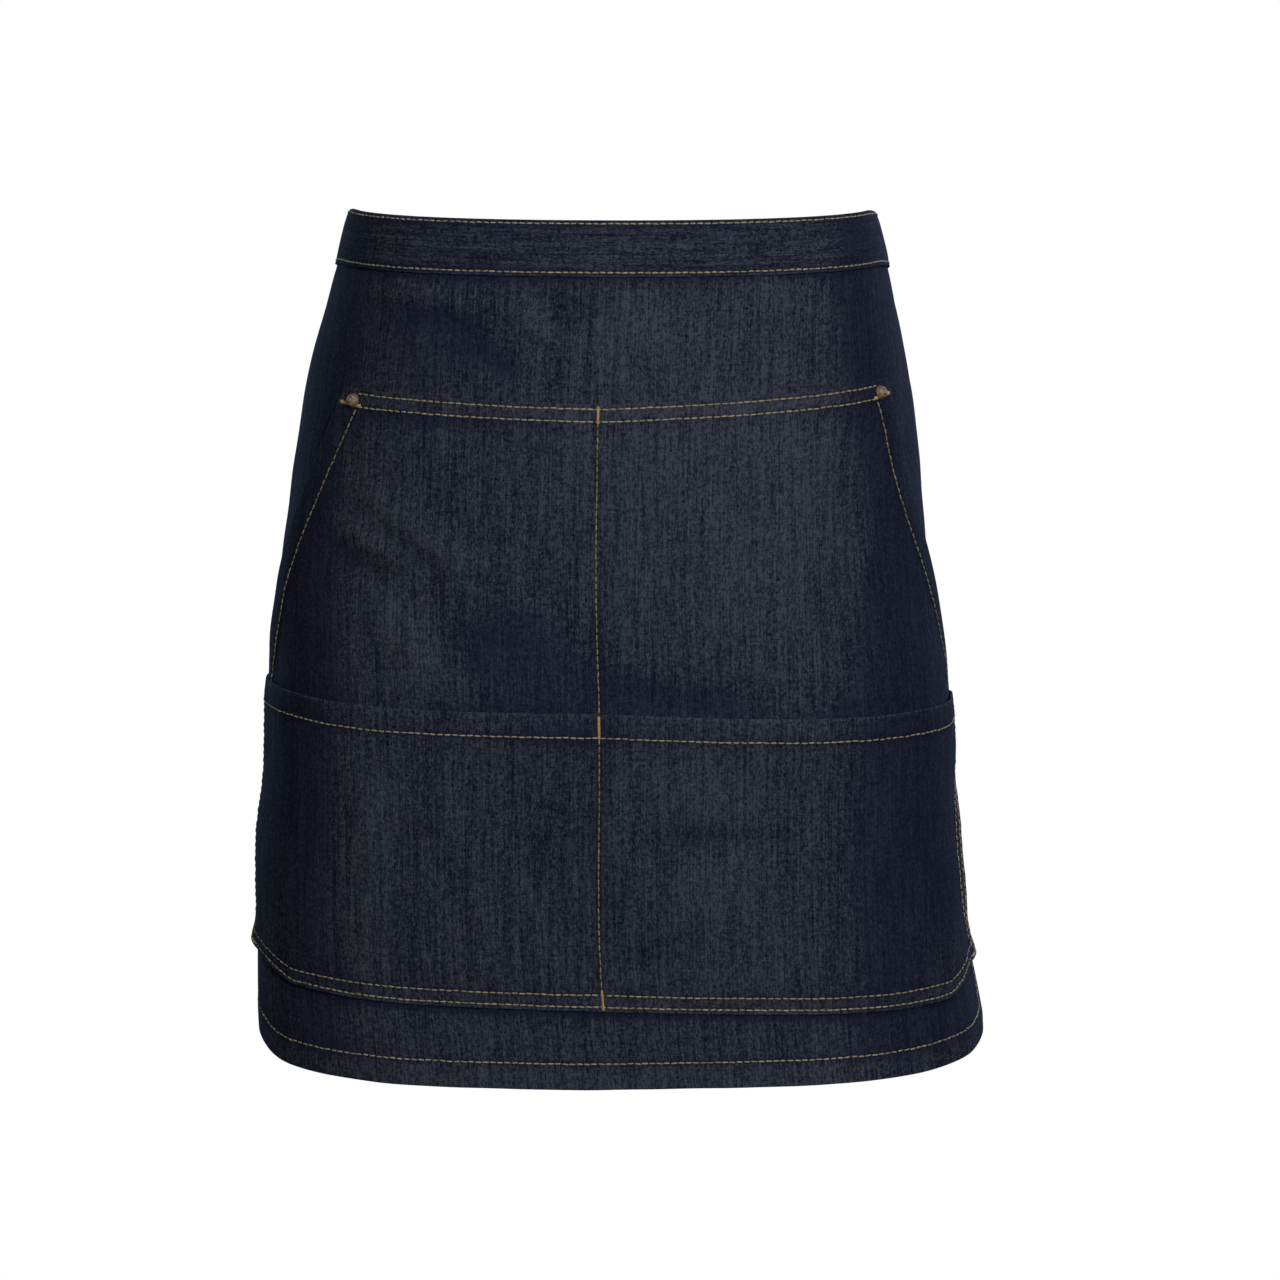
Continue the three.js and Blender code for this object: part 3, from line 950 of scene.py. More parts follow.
        # Painted light over the front, falling to painted shade round the sides.
        front = ease(around, -168.0, -118.0) * (1.0 - ease(around, 112.0, 162.0))
        # Paler on the creases' ridges and darker in their valleys: rubbing, and painted light and shade.
        ridge = np.clip(self.form.creased(around, drop), -2.5, 3.5)
        tone = self.DEEP + self.FRONT * front + self.RIDGE * ridge
        # Add the patches of painted light and shade.
        for patch in PATCHES:
            aside = (around - patch.across) / patch.reach_across
            below = (drop - patch.drop) / patch.reach_drop
            tone = tone + patch.tone * np.exp(-(aside**2) - below**2)
        return tone


def make_up(
    wall: Wall, panel: "Panel | Strip", face: bpy.types.Material, reverse: bpy.types.Material,
) -> None:
    """Make a piece of cloth, ride it on the body and hide the part that it replaces.

    Args:
        wall: The cloth's shape.
        panel: The panel or strip that it is.
        face: Finish of the cloth's right side.
        reverse: Finish of its wrong side.
    """
    piece = wall.build(panel.name, face, reverse)
    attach(piece, BODY)
    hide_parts(panel.node)
    list(panel.rests_on)
    LOG.info("%s: %d faces", piece.name, len(piece.data.polygons))


# ---------------------------------------------------------------- the apron's panels


@dataclass
class Skirt(Panel):
    """The apron's main panel, with a turned hem and turned sides."""

    name: str = "skirt_cloth"
    node: str = "skirt"
    flat: tuple[float, float] = (0.584, 0.463)
    rests_on: tuple[str, ...] = ("waistband",)
    half: float = 280.0
    top: float = 13.0
    hem: float = 13.5
    side_hem: float = 9.0
    lift: float = 6.0
    dip: float = 2.6

    BELOW_BAND = (29.0, 34.0)

    def __post_init__(self) -> None:
        """Lay out the hem row and the side rows."""
        row, side = LENGTH - self.hem, self.half - self.side_hem
        bent = ((-side, row - 4.0), (-238.0, row - 3.5), (-212.0, row - 0.5), (-195.0, row), (side, row))
        self.rows = [
            SewnRow(bent),
            SewnRow(((-side, 30.0), (-side, row))),
            SewnRow(((side, 30.0), (side, row))),
        ]

    def grid(self) -> tuple[Array, Array]:
        """Close lines at the edges, hems and rows."""
        columns = paired_lines(self.half, self.half - self.side_hem, 3.0)
        marks = row_marks(LENGTH - self.hem) + edge_marks(LENGTH, -1) + [28.0, 30.0, 32.0, 34.5]
        # The close lines from 404 to 424 carry the painted shadow under the low pocket's foot.
        lines = ruled(edge_marks(self.top, 1) + marks + list(np.arange(404.0, 424.0, 1.25)), 4.2)
        return np.meshgrid(columns, lines, indexing="ij")

    def _hemmed(self, across: Array, drop: Array) -> Array:
        """1 where the cloth is turned double, with a soft step at the turned strip's edge."""
        foot = ease(drop, LENGTH - self.hem - 2.2, LENGTH - self.hem - 0.6)
        sides = ease(np.abs(across), self.half - self.side_hem - 2.2, self.half - self.side_hem - 0.6)
        return np.maximum(foot, sides * ease(drop, *self.BELOW_BAND))

    def heights(self, across: Array, drop: Array) -> tuple[Array, Array]:
        """One layer of cloth, doubled inwards and a little proud at the hems."""
        doubled = self._hemmed(across, drop)
        return -0.85 * doubled, CLOTH + 0.28 * doubled * ease(drop, *self.BELOW_BAND)

    def turned(self, across: Array, drop: Array) -> Array:
        """The hem's and sides' turned strips."""
        return self._hemmed(across, drop) > 0.5

    def edge_gap(self, across: Array, drop: Array) -> Array:
        """Distance to the sides, top or hem."""
        return np.minimum(self.half - np.abs(across), np.minimum(drop - self.top, LENGTH - drop))

    def settle(self, across: Array, drop: Array) -> tuple[Array, Array]:
        """The hem hangs a little lower on the left, and rides up at that side."""
        fall = self.dip * (1.0 - ease(across, -30.0, 70.0)) - self.lift * ease(-across, 190.0, 250.0)
        return across, drop + fall * ease(drop, 400.0, LENGTH)

    def worn(self, across: Array, drop: Array) -> Array:
        """Rubbed along the hem, with a painted shadow under the band and under the low pocket's foot."""
        row = LENGTH - self.hem
        hem = 0.10 * np.exp(-(LENGTH - drop) / 1.2) + 0.11 * ease(drop, row - 1.0, row + 5.0)
        # Painted shadow: a dark line on the skirt just below the band's foot.
        band = 0.22 * np.exp(-np.maximum(0.0, drop - self.BELOW_BAND[0]) / 2.6)
        # Painted shadow: a dark line on the skirt just below the low pocket's foot, inside the pocket's
        # width.
        _, foot = LowerPocket.settled(across, LowerPocket.foot_line(across, 0.0))
        below = np.abs(drop - foot - 0.6)
        inside = 1.0 - ease(np.abs(across), 224.0, 242.0)
        return hem - band - inside * (0.44 * np.exp(-below / 1.7) + 0.05 * np.exp(-below / 8.0))


@dataclass
class UpperPocket(Panel):
    """The tall hand pocket: a sewn top edge, slanted open sides with a wide hem, and a dividing seam."""

    name: str = "upper_pocket_cloth"
    node: str = "upper_pocket"
    flat: tuple[float, float] = (0.499, 0.347)
    area: float | None = 0.140
    rests_on: tuple[str, ...] = ("skirt",)
    map_shift: float = 900.0
    top: float = 92.5
    top_half: float = 155.0
    slant_end: float = 257.0
    slant_half: float = 236.0
    hidden_gap: float = 20.0
    hem: float = 13.5
    dip: float = 1.1
    climb: tuple[float, float] = (0.030, 0.049)
    draw: float = 11.5
    gape: float = 2.4
    covered: float = MOUTH
    twin: tuple[float, float] = TWIN
    foot_gap: float = 13.0

    def __post_init__(self) -> None:
        """Lay out the twin rows, the slits' rows and the seam."""
        self.slope = (self.slant_half - self.top_half) / (self.slant_end - self.top)
        self.lean = 1.0 / math.hypot(1.0, self.slope)
        self.rows = []
        for depth in self.twin:
            reach = self.half(self.top + depth) - 11.5
            self.rows.append(SewnRow(((-reach, self.top + depth), (reach, self.top + depth)), True))
        for side in Side:
            ends = [
                (side.value * (self.half(drop) - self.hem / self.lean), drop)
                for drop in (self.top + 10.5, self.slant_end)
            ]
            self.rows.append(SewnRow(ends, False, 0.8, SEAM_SHINE))
        seam = ((SEAM, self.top + self.twin[1]), (SEAM, self.covered + 8.0))
        self.rows.append(SewnRow(seam, True, 1.2, SEAM_SHINE))

    def half(self, drop: Array | float) -> Array:
        """Half the width at a drop: slanted, then tucked in behind the lower pocket."""
        drop = np.asarray(drop, float)
        slanted = np.minimum(self.top_half + self.slope * (drop - self.top), self.slant_half)
        hidden = LowerPocket.half(drop) - self.hidden_gap
        return slanted + (hidden - slanted) * ease(drop, self.slant_end, self.slant_end + 19.0)

    def _foot(self, across: Array) -> Array:
        """Drop of the foot, which stays inside the lower pocket's rows."""
        return LowerPocket.foot_line(across, self.foot_gap)

    def grid(self) -> tuple[Array, Array]:
        """Columns that stay upright in the middle and follow the slanted edges at the sides."""
        still, strip = 60.0, 27.0
        edges = [
            side * (self.slant_half - step / self.lean)
            for side in (-1, 1)
            for step in (0.0, 0.3, 0.8, 1.6, 4.0, 7.0, 10.0, 11.2, 12.0, 12.8, 14.0, 17.0)
        ]
        plan = ruled(edges + row_marks(SEAM), 3.0)
        lines = ruled(
            edge_marks(self.top, 1) + row_marks(self.top + self.twin[0]) + row_marks(self.top + self.twin[1])
            + [self.slant_end, self.covered, LowerPocket.foot - self.foot_gap], 4.0,
        )
        plan, drop = np.meshgrid(plan, lines, indexing="ij")
        half = self.half(drop)
        far = np.abs(plan)
        stretch = still + (far - still) * (half - strip - still) / (self.slant_half - strip - still)
        beside = np.where(far >= self.slant_half - strip, half - self.slant_half + far, stretch)
        across = np.sign(plan) * np.where(far <= still, far, beside)
        end, hidden = LowerPocket.foot - self.foot_gap, self.covered + 30.0
        low = np.clip((drop - hidden) / (end - hidden), 0.0, 1.0)
        return across, drop + low * (self._foot(across) - end)

    def edge_gap(self, across: Array, drop: Array) -> Array:
        """Distance to the slanted sides, top or foot."""
        sides = (self.half(drop) - np.abs(across)) * self.lean
        return np.maximum(0.0, np.minimum(sides, np.minimum(drop - self.top, self._foot(across) - drop)))

    def heights(self, across: Array, drop: Array) -> tuple[Array, Array]:
        """Sewn flat along the top, with hemmed slits that gape above the lower pocket."""
        half = self.half(drop)
        share = np.abs(across) / half
        slit = np.clip((drop - self.top) / (self.covered - self.top), 0.0, 1.0)
        gape = self.gape * ease(share, 0.78, 1.0) * np.sin(math.pi * slit * slit)
        sewn = 1.0 - ease(drop, self.top + 9.0, self.top + 30.0)
        inner = 1.45 - 0.4 * sewn + gape
        hem = 1.0 - ease((half - np.abs(across)) * self.lean, self.hem + 0.4, self.hem + 2.0)
        strip = 1.0 - ease(drop - self.top, self.twin[1] + 0.8, self.twin[1] + 2.4)
        doubled = np.maximum(hem * (1.0 - ease(drop, self.covered, self.covered + 10.0)), strip)
        return inner, inner + CLOTH + HEM_RISE * doubled

    def turned(self, across: Array, drop: Array) -> Array:
        """The slits' turned hems."""
        return (self.half(drop) - np.abs(across)) * self.lean < self.hem + 1.0

    def settle(self, across: Array, drop: Array) -> tuple[Array, Array]:
        """The top edge climbs from the seam to its corners, and the right slit draws in below the rivet."""
        off = across - SEAM
        rise = np.where(off < 0.0, self.climb[0], self.climb[1]) * (np.hypot(off, 8.0) - 8.0) - self.dip
        way = (drop - self.top) / (self.slant_end - self.top)
        drawn = ease(drop, 95.0, 155.0) * (1.0 - ease(drop, 160.0, self.slant_end + 1.0))
        pulled = self.draw * drawn * ease(across / self.half(drop), 0.4, 1.0)
        return across - pulled, drop - rise * np.maximum(0.0, 1.0 - way)

    def worn(self, across: Array, drop: Array) -> Array:
        """Rubbed along the top strip and the slits, with a painted shadow under the strip and painted shade
        just above the low pocket's mouth.
        """
        slit = (self.half(drop) - np.abs(across)) * self.lean
        below = drop - self.top - self.twin[1]
        # Paler on the strip, then a painted shadow just below it.
        strip = 0.10 * (1.0 - ease(below, -1.5, 0.5)) - 0.08 * np.exp(-(((below - 5.0) / 5.0) ** 2))
        above = np.maximum(0.0, self.covered - 2.0 - drop)
        # Rubbed along the slits, and painted shade just above the low pocket's mouth.
        return strip + 0.12 * np.exp(-slit / 1.5) - 0.10 * np.exp(-above / 7.0)


@dataclass
class LowerPocket(Panel):
    """The wide pocket over the upper one: open along its top, with clipped lower corners."""

    foot = 411.0
    side = 234.0
    splay = 0.069
    clip_across = 48.0
    clip_drop = 11.5
    tilt = 3.7
    droop = 2.4

    name: str = "lower_pocket_cloth"
    node: str = "lower_pocket"
    flat: tuple[float, float] = (0.508, 0.181)
    area: float | None = 0.0895
    rests_on: tuple[str, ...] = ("skirt", "upper_pocket")
    map_shift: float = 1900.0
    mouth: float = MOUTH
    hem: float = 12.5
    twin: tuple[float, float] = TWIN
    gape_left: float = 2.2
    gape_right: float = 3.8
    flare: float = 3.0

    @classmethod
    def half(cls, drop: Array | float) -> Array:
        """Half the width at a drop. The sides close in towards the clipped corners."""
        return cls.side + cls.splay * (cls.foot - cls.clip_drop - np.asarray(drop, float))

    @classmethod
    def foot_line(cls, across: Array | float, inset: float) -> Array:
        """Drop of a line that runs inset mm inside the foot and its clipped corners."""
        slope = cls.clip_drop / cls.clip_across
        clipped = cls.foot - cls.clip_drop + (cls.side - np.abs(across)) * slope
        return np.minimum(cls.foot - inset, clipped - inset * math.hypot(1.0, slope))

    def __post_init__(self) -> None:
        """Lay out the mouth's row, the twin rows round the sides and foot, and the seam."""
        slope = self.clip_drop / self.clip_across
        inset = self.hem + self.mouth
        reach = float(self.half(inset)) - 1.0
        self.rows = [SewnRow(((-reach, inset), (reach, inset)), False, 0.8)]
        for depth in self.twin:
            low = float(self.foot_line(self.side - depth, depth))
            bend = self.side - self.clip_across - depth * math.tan(math.atan(slope) / 2.0)
            half_line = [(float(self.half(drop)) - depth, drop) for drop in (self.mouth + 2.0, low)]
            turns = (bend + step for step in (7.0, 0.0, -7.0))
            half_line += [(turn, float(self.foot_line(turn, depth))) for turn in turns]
            mirrored = [(-across, drop) for across, drop in reversed(half_line)]
            self.rows.append(SewnRow(half_line + mirrored, True))
        seam = ((SEAM, self.mouth + 1.0), (SEAM, self.foot - 1.0))
        self.rows.append(SewnRow(seam, True, 1.2, SEAM_SHINE))

    def grid(self) -> tuple[Array, Array]:
        """Lines that follow the mouth above, and the foot with its clipped corners below."""
        ends = [self.side - depth for depth in self.twin]
        marks = row_marks(SEAM) + edge_marks(-self.side, 1) + edge_marks(self.side, -1)
        marks += [sign * place for end in ends for place in row_marks(end) for sign in (-1, 1)]
        bend = self.side - self.clip_across
        marks += [sign * (bend + step) for sign in (-1, 1) for step in (-6.0, -3.0, 0.0, 3.0)]
        columns = ruled(marks, 3.0)
        upper = ruled(edge_marks(0.0, 1) + row_marks(self.hem) + [26.0], 3.5)
        insets = ruled(
            edge_marks(0.0, 1) + row_marks(self.twin[0])[2:] + row_marks(self.twin[1]) + [18.0], 3.5
        )[::-1]
        fill = np.linspace(0.0, 1.0, 39)[1:-1]
        top = self.mouth + upper
        lines = []
        for across in columns:
            low = self.foot_line(across, insets[0])
            between = top[-1] + fill * (low - top[-1])
            lines.append(np.concatenate([top, between, [self.foot_line(across, inset) for inset in insets]]))
        drop = np.array(lines)
        plan = np.repeat(columns[:, None], drop.shape[1], 1)
        return plan + np.sign(plan) * (self.half(drop) - self.side) * ease(np.abs(plan), 90.0, 205.0), drop

    def _sewn_gap(self, across: Array, drop: Array) -> Array:
        """Distance to the sewn sides, clipped corners and foot."""
        slope = self.clip_drop / self.clip_across
        edge = self.foot - self.clip_drop + (self.side - np.abs(across)) * slope
        clipped = (edge - drop) / math.hypot(1.0, slope)
        return np.minimum(self.half(drop) - np.abs(across), np.minimum(self.foot - drop, clipped))

    def edge_gap(self, across: Array, drop: Array) -> Array:
        """Distance to any edge."""
        return np.maximum(0.0, np.minimum(self._sewn_gap(across, drop), drop - self.mouth))

    def heights(self, across: Array, drop: Array) -> tuple[Array, Array]:
        """Sewn down round its sides and foot, with a hemmed mouth that stands off."""
        sewn = self._sewn_gap(across, drop)
        aside = self.half(drop) - np.abs(across)
        base = 1.15 + 1.7 * (1.0 - ease(drop, self.mouth + 8.0, self.mouth + 30.0)) * ease(aside, 0.5, 6.0)
        inner = base + (3.25 - base) * ease(sewn, 1.5, 15.0)
        tip = np.hypot(np.abs(across) - self.side, drop - self.foot + self.clip_drop)
        inner = inner + self.flare * np.exp(-((tip / 11.0) ** 2))
        left = np.clip((across + self.side) / (SEAM + self.side), 0.0, 1.0)
        right = np.clip((across - SEAM) / (self.side - SEAM), 0.0, 1.0)
        span = self.gape_left * np.sin(math.pi * left) ** 1.3
        span = span + self.gape_right * np.sin(math.pi * right**0.75) ** 1.3
        inner = inner + span * (1.0 - ease(drop, self.mouth - 6.0, self.mouth + 46.0))
        hem = 1.0 - ease(drop - self.mouth, self.hem + 0.4, self.hem + 2.0)
        strip = 1.0 - ease(sewn, self.twin[1] + 0.8, self.twin[1] + 2.4)
        return inner, inner + CLOTH + HEM_RISE * np.maximum(hem, strip)

    def turned(self, across: Array, drop: Array) -> Array:
        """The mouth's turned hem."""
        return drop - self.mouth < self.hem + 1.0

    @classmethod
    def settled(cls, across: Array, drop: Array) -> tuple[Array, Array]:
        """The whole pocket sits a little lower on the right."""
        return across, drop + cls.tilt * across / cls.side + cls.droop * ease(across, 60.0, 220.0)

    def settle(self, across: Array, drop: Array) -> tuple[Array, Array]:
        """Where the worn pocket's cloth lies."""
        return self.settled(across, drop)

    def worn(self, across: Array, drop: Array) -> Array:
        """A painted highlight along the mouth's folded edge, and rubbed along the sewn edges."""
        sewn = np.maximum(0.0, self._sewn_gap(across, drop))
        strip = 0.12 * (1.0 - ease(sewn, self.twin[1] - 1.5, self.twin[1] + 0.5))
        # Painted highlight along the mouth's edge, then rubbing along the sewn edges and their strip.
        return 0.22 * np.exp(-(drop - self.mouth) / 1.2) + 0.08 * np.exp(-sewn / 1.4) + strip


@dataclass
class Waistband(Panel):
    """One strip folded over the skirt's top edge. Its drop is walked over the fold, from foot to foot."""

    name: str = "waistband_cloth"
    node: str = "waistband"
    slot: str = "denim_band"
    flat: tuple[float, float] = (0.604, 0.078)
    held: Held = Held.FOLDED
    rests_on: tuple[str, ...] = ("skirt",)
    half: float = BAND_HALF
    height: float = 28.5
    bend: float = 1.5
    front: float = 2.45
    back: float = -1.55
    wall: float = 0.95
    top_row: float = 1.7
    foot_row: float = 26.3
    end_row: float = 3.0

    def __post_init__(self) -> None:
        """Lay out the rows along its top and foot and across its ends."""
        end, rows = self.half - self.end_row, (self.top_row, self.foot_row)
        self.rows = [SewnRow(((-end, row), (end, row))) for row in rows]
        self.rows += [SewnRow([(side, row) for row in rows]) for side in (-end, end)]

    def grid(self) -> tuple[Array, Array]:
        """The strip's plan: along the band, and a walk from the front's foot over the fold to the back's."""
        columns = paired_lines(self.half, self.half - self.end_row, 3.0)
        marks = row_marks(self.foot_row)[:3] + row_marks(self.top_row)[3:] + [self.bend]
        wall = ruled(edge_marks(self.height, -1) + marks, 3.2)
        walk = np.concatenate([-wall[::-1], np.linspace(-1.0, 1.0, 5), wall])
        return np.meshgrid(columns, walk, indexing="ij")

    def _section(self, walk: Array, inset: float) -> tuple[Array, Array]:
        """Height and drop of a face of the folded strip.

        Args:
            walk: Place over the fold: -drop on the front wall, and +drop on the back wall.
            inset: 0 for the strip's right side, or its thickness for the wrong side.

        Returns:
            Height off the skirt's inner face, and drop.
        """
        turn = np.clip(walk / self.bend, -1.0, 1.0) * math.pi / 2.0
        middle, reach = (self.front + self.back) / 2.0, (self.front - self.back) / 2.0 - inset
        over = self.bend - (self.bend - inset * 0.8) * np.cos(turn)
        return middle - reach * np.sin(turn), np.where(np.abs(walk) > self.bend, np.abs(walk), over)

    def edge_gap(self, across: Array, drop: Array) -> Array:
        """Distance to the ends or the foot."""
        return np.minimum(self.half - np.abs(across), self.height - np.abs(drop))

    def _bulge(self, across: Array, walk: Array) -> Array:
        """Puff between the rows, less what the stitches pull in."""
        drop = np.abs(walk)
        puff = 0.45 * np.sin(math.pi * np.clip(drop / self.height, 0.0, 1.0)) ** 0.8
        soft = rounded(self.edge_gap(across, walk), self.round_over)
        return puff + self.relief(across, drop) - 0.35 * (1.0 - soft)

    def _place(self, across: Array, walk: Array, inset: float) -> Array:
        """Points on the right side (inset 0) or the wrong side of the strip, in mm."""
        proud, drop = self._section(walk, inset)
        out = -np.sin(np.clip(walk / self.bend, -1.0, 1.0) * math.pi / 2.0)
        bulge = self._bulge(across, walk) if inset == 0.0 else np.zeros(across.shape)
        return self.form.cloth(across, drop, proud + out * np.maximum(bulge, -0.5))

    def surface(self, across: Array, drop: Array) -> Array:
        """Points on the strip's right side. On the front wall, drop may be given above 0."""
        return self._place(across, -np.abs(drop), 0.0)

    def underside(self, across: Array, drop: Array) -> Array:
        """Points on the back wall, next to the wearer."""
        return self._place(across, np.abs(drop), 0.0)

    def sheets(self, across: Array, drop: Array) -> tuple[Array, Array]:
        """Points on the strip's right and wrong side, all the way over the fold."""
        return self._place(across, drop, 0.0), self._place(across, drop, self.wall)

    def chart(self, across: Array, drop: Array) -> Array:
        """Its yarns run along it."""
        return np.stack([drop, across], -1)

    def paleness(self, across: Array, drop: Array) -> Array:
        """The same on its front and back walls."""
        return super().paleness(across, np.abs(drop))

    def worn(self, across: Array, drop: Array) -> Array:
        """Rubbed along the fold and the foot."""
        return 0.10 * np.exp(-drop / 1.2) + 0.08 * np.exp(-(self.height - drop) / 1.2) - 0.03


# ---------------------------------------------------------------- ties


@dataclass
class Strip(ABC):
    """A narrow tie strip: walked along its length, and across from its middle."""

    form: WornForm
    side: Side
    name: str = ""
    node: str = ""
    slot: str = "denim_band"
    flat: tuple[float, float] = (0.0, 0.0)
    area: float | None = None
    held: Held = Held.STRETCHED
    rests_on: tuple[str, ...] = ()
    width: float = 24.0
    thick: float = 1.1
    length: float = 100.0
    row: float = 2.6
    round_over: float = 0.7
    map_shift: float = 0.0

    def _label(self, kind: str, shift: float) -> None:
        """Name the strip for its side, and take its flat size from its length."""
        word = self.side.name.lower()
        self.name, self.node = f"{kind}_{word}_strip", f"{kind}_{word}"
        self.flat = (self.width * MM, self.length * MM)
        self.map_shift = shift + 60.0 * self.side.value

    @abstractmethod
    def spot(self, along: Array, across: Array, lift: Array) -> Array:
        """Points of the strip in mm, lift mm off its inner face."""

    def rows(self) -> list[SewnRow]:
        """The rows along its two edges."""
        edge = self.width / 2.0 - self.row
        return [SewnRow(((3.0, sign * edge), (self.length - 4.0, sign * edge))) for sign in (-1, 1)]

    def _lifts(self, along: Array, across: Array) -> tuple[Array, Array]:
        """Inner and outer face, pulled in at the rows and rounded at the edges."""
        outer = np.full(along.shape, self.thick)
        for number, row in enumerate(self.rows()):
            gap, walked = row.near(along, across)
            pucker = 0.06 * np.sin(walked / 1.6 + number) * np.exp(-((gap / 3.5) ** 2))
            outer = outer - 0.2 * np.exp(-((gap / 1.0) ** 2)) + pucker
        gap = np.minimum(self.width / 2.0 - np.abs(across), np.minimum(along, self.length - along))
        share = np.maximum(EDGE_SHARE, rounded(gap, self.round_over))
        return outer * (1.0 - share) / 2.0, outer * (1.0 + share) / 2.0

    def surface(self, along: Array, across: Array) -> Array:
        """Points on the outer face, in mm."""
        return self.spot(along, across, self._lifts(along, across)[1])

    def underside(self, along: Array, across: Array) -> Array:
        """Points on the inner face, in mm."""
        return self.spot(along, across, self._lifts(along, across)[0])

    def build(self, face: bpy.types.Material, reverse: bpy.types.Material) -> None:
        half = self.width / 2.0
        marks = edge_marks(-half, 1) + row_marks(self.row - half)[1:] + row_marks(half - self.row)[:4]
        lines = ruled(marks + edge_marks(half, -1), 2.2)
        columns = ruled(edge_marks(0.0, 1) + edge_marks(self.length, -1), 2.6)
        along, across = np.meshgrid(columns, lines, indexing="ij")
        wear = 0.1 * np.exp(-(self.width / 2.0 - np.abs(across)) / 1.2)
        wall = Wall(
            self.surface(along, across), self.underside(along, across),
            np.stack([across + self.map_shift, along], -1), 0.46 + wear,
            np.ones((len(columns) - 1, len(lines) - 1), bool),
        )
        make_up(wall, self, face, reverse)


@dataclass
class Tie(Strip):
    """A tie from inside the band's open end to the knot, gathered as it goes in."""

    rests_on: tuple[str, ...] = ("waistband", "tie_knot")
    start: float = 0.0
    tuck: float = 12.0
    top: float = 2.75
    knot_drop: float = 0.0

    def __post_init__(self) -> None:
        """Measure the run from the band's end to inside the knot."""
        self.start = BAND_HALF - self.tuck + self.side.value * WRAP_SHIFT
        self.length = self.form.half_round(self.knot_drop) - 0.6 - self.start
        self._label("tie", 300.0)

    def spot(self, along: Array, across: Array, lift: Array) -> Array:
        """Points along the waist, with pleats that deepen towards the knot."""
        gather = ease(along, self.length - 62.0, self.length - 6.0)
        middle = self.top + self.width / 2.0
        around = self.start + along
        drop = middle + across * (1.0 - 0.42 * gather)
        pleats = 1.5 * gather * np.sin(across * 0.8 + 0.9 * self.side.value)
        pleats = pleats + 0.25 * np.sin(along / 9.0) * ease(along, 14.0, 40.0)
        fall = self.form.back_fall(around) * (1.0 - drop / LENGTH)
        return self.form.point(self.side.value * around, drop + fall, lift + pleats)


@dataclass
class Tail(Strip):
    """A tie's free end, hanging below the knot with a slow wave."""

    held: Held = Held.HUNG
    rests_on: tuple[str, ...] = ("tie_knot",)
    knot_drop: float = 0.0
    free: float = 170.0
    hidden: float = 10.0
    splay: float = 0.1

    def __post_init__(self) -> None:
        """Start the tail inside the knot."""
        self.length = self.free + self.hidden
        self._label("tail", 500.0)

    def spot(self, along: Array, across: Array, lift: Array) -> Array:
        """Points down the back, gathered at the knot."""
        gather = 1.0 - ease(along, 2.0, 58.0)
        drop = self.knot_drop + 15.7 - self.hidden + along
        middle = (13.0 + self.splay * (along - self.hidden)) * (1.0 - 0.45 * gather)
        near = middle + across * (1.0 - 0.48 * gather)
        rounds = np.interp(drop, self.form.drops, self.form.rounds)
        pleats = 1.3 * gather * np.sin(across * 0.75 + self.side.value)
        wave = 1.6 * np.sin(along / 27.0 + 1.3 * self.side.value) + 0.05 * across * np.sin(along / 40.0)
        off = 2.0 + lift + pleats + wave * (1.0 - gather)
        return self.form.point(-self.side.value * (rounds - near), drop, off)

    def rows(self) -> list[SewnRow]:
        """The edge rows and one across its end."""
        edge, foot = self.width / 2.0 - self.row, self.length - 4.0
        return [*super().rows(), SewnRow(((foot, -edge), (foot, edge)))]


@dataclass
class KnotWrap(Strip):
    """The turn of strip that wraps the ties into a knot."""

    node: str = "tie_knot"
    name: str = "knot_wrap"
    side: Side = Side.RIGHT
    held: Held = Held.FOLDED
    rests_on: tuple[str, ...] = ("tie_left", "tie_right")
    width: float = 21.0
    thick: float = 4.6
    round_over: float = 2.4
    half_height: float = 10.0
    half_depth: float = 2.1
    turns: float = 1.06

    def __post_init__(self) -> None:
        """Find the knot's middle and the length of its turn."""
        low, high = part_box(self.node)
        self.middle = np.array((low + high) / 2.0) / MM
        self.length = self.turns * math.pi * (self.half_height + self.half_depth + self.thick) * 1.18
        self.flat = (self.width * MM, self.length * MM)
        self.map_shift = 700.0

    def rows(self) -> list[SewnRow]:
        """One row, off the middle."""
        edge = self.width / 2.0 - self.row
        return [SewnRow(((2.0, edge), (self.length - 2.0, edge)))]

    def spot(self, along: Array, across: Array, lift: Array) -> Array:
        """Points round the knot, squashed to a flattened ring with soft pleats."""
        turn = -0.35 * math.pi - along / self.length * self.turns * 2.0 * math.pi
        outer = ease(along, 0.0, self.length) * 0.9
        pleat = 0.55 * np.sin(across * 0.62 + 0.6 * np.sin(turn)) + 0.3 * np.sin(across * 1.3 + turn)
        crown = -0.022 * across**2 * 0.35
        out = lift + outer + pleat + crown
        waist = 1.0 - 0.16 * np.cos(2.0 * turn)
        deep, tall = np.cos(turn), np.sin(turn)
        bend = np.maximum(np.abs(deep) ** 2.6 + np.abs(tall) ** 2.6, 1e-9) ** (-1.0 / 2.6)
        return np.stack(
            [
                self.middle[0] + across * waist,
                self.middle[1] + (self.half_depth * bend + out) * deep,
                self.middle[2] + (self.half_height * bend + out) * tall + 0.04 * across,
            ], -1,
        )


# ---------------------------------------------------------------- stitches and tacks


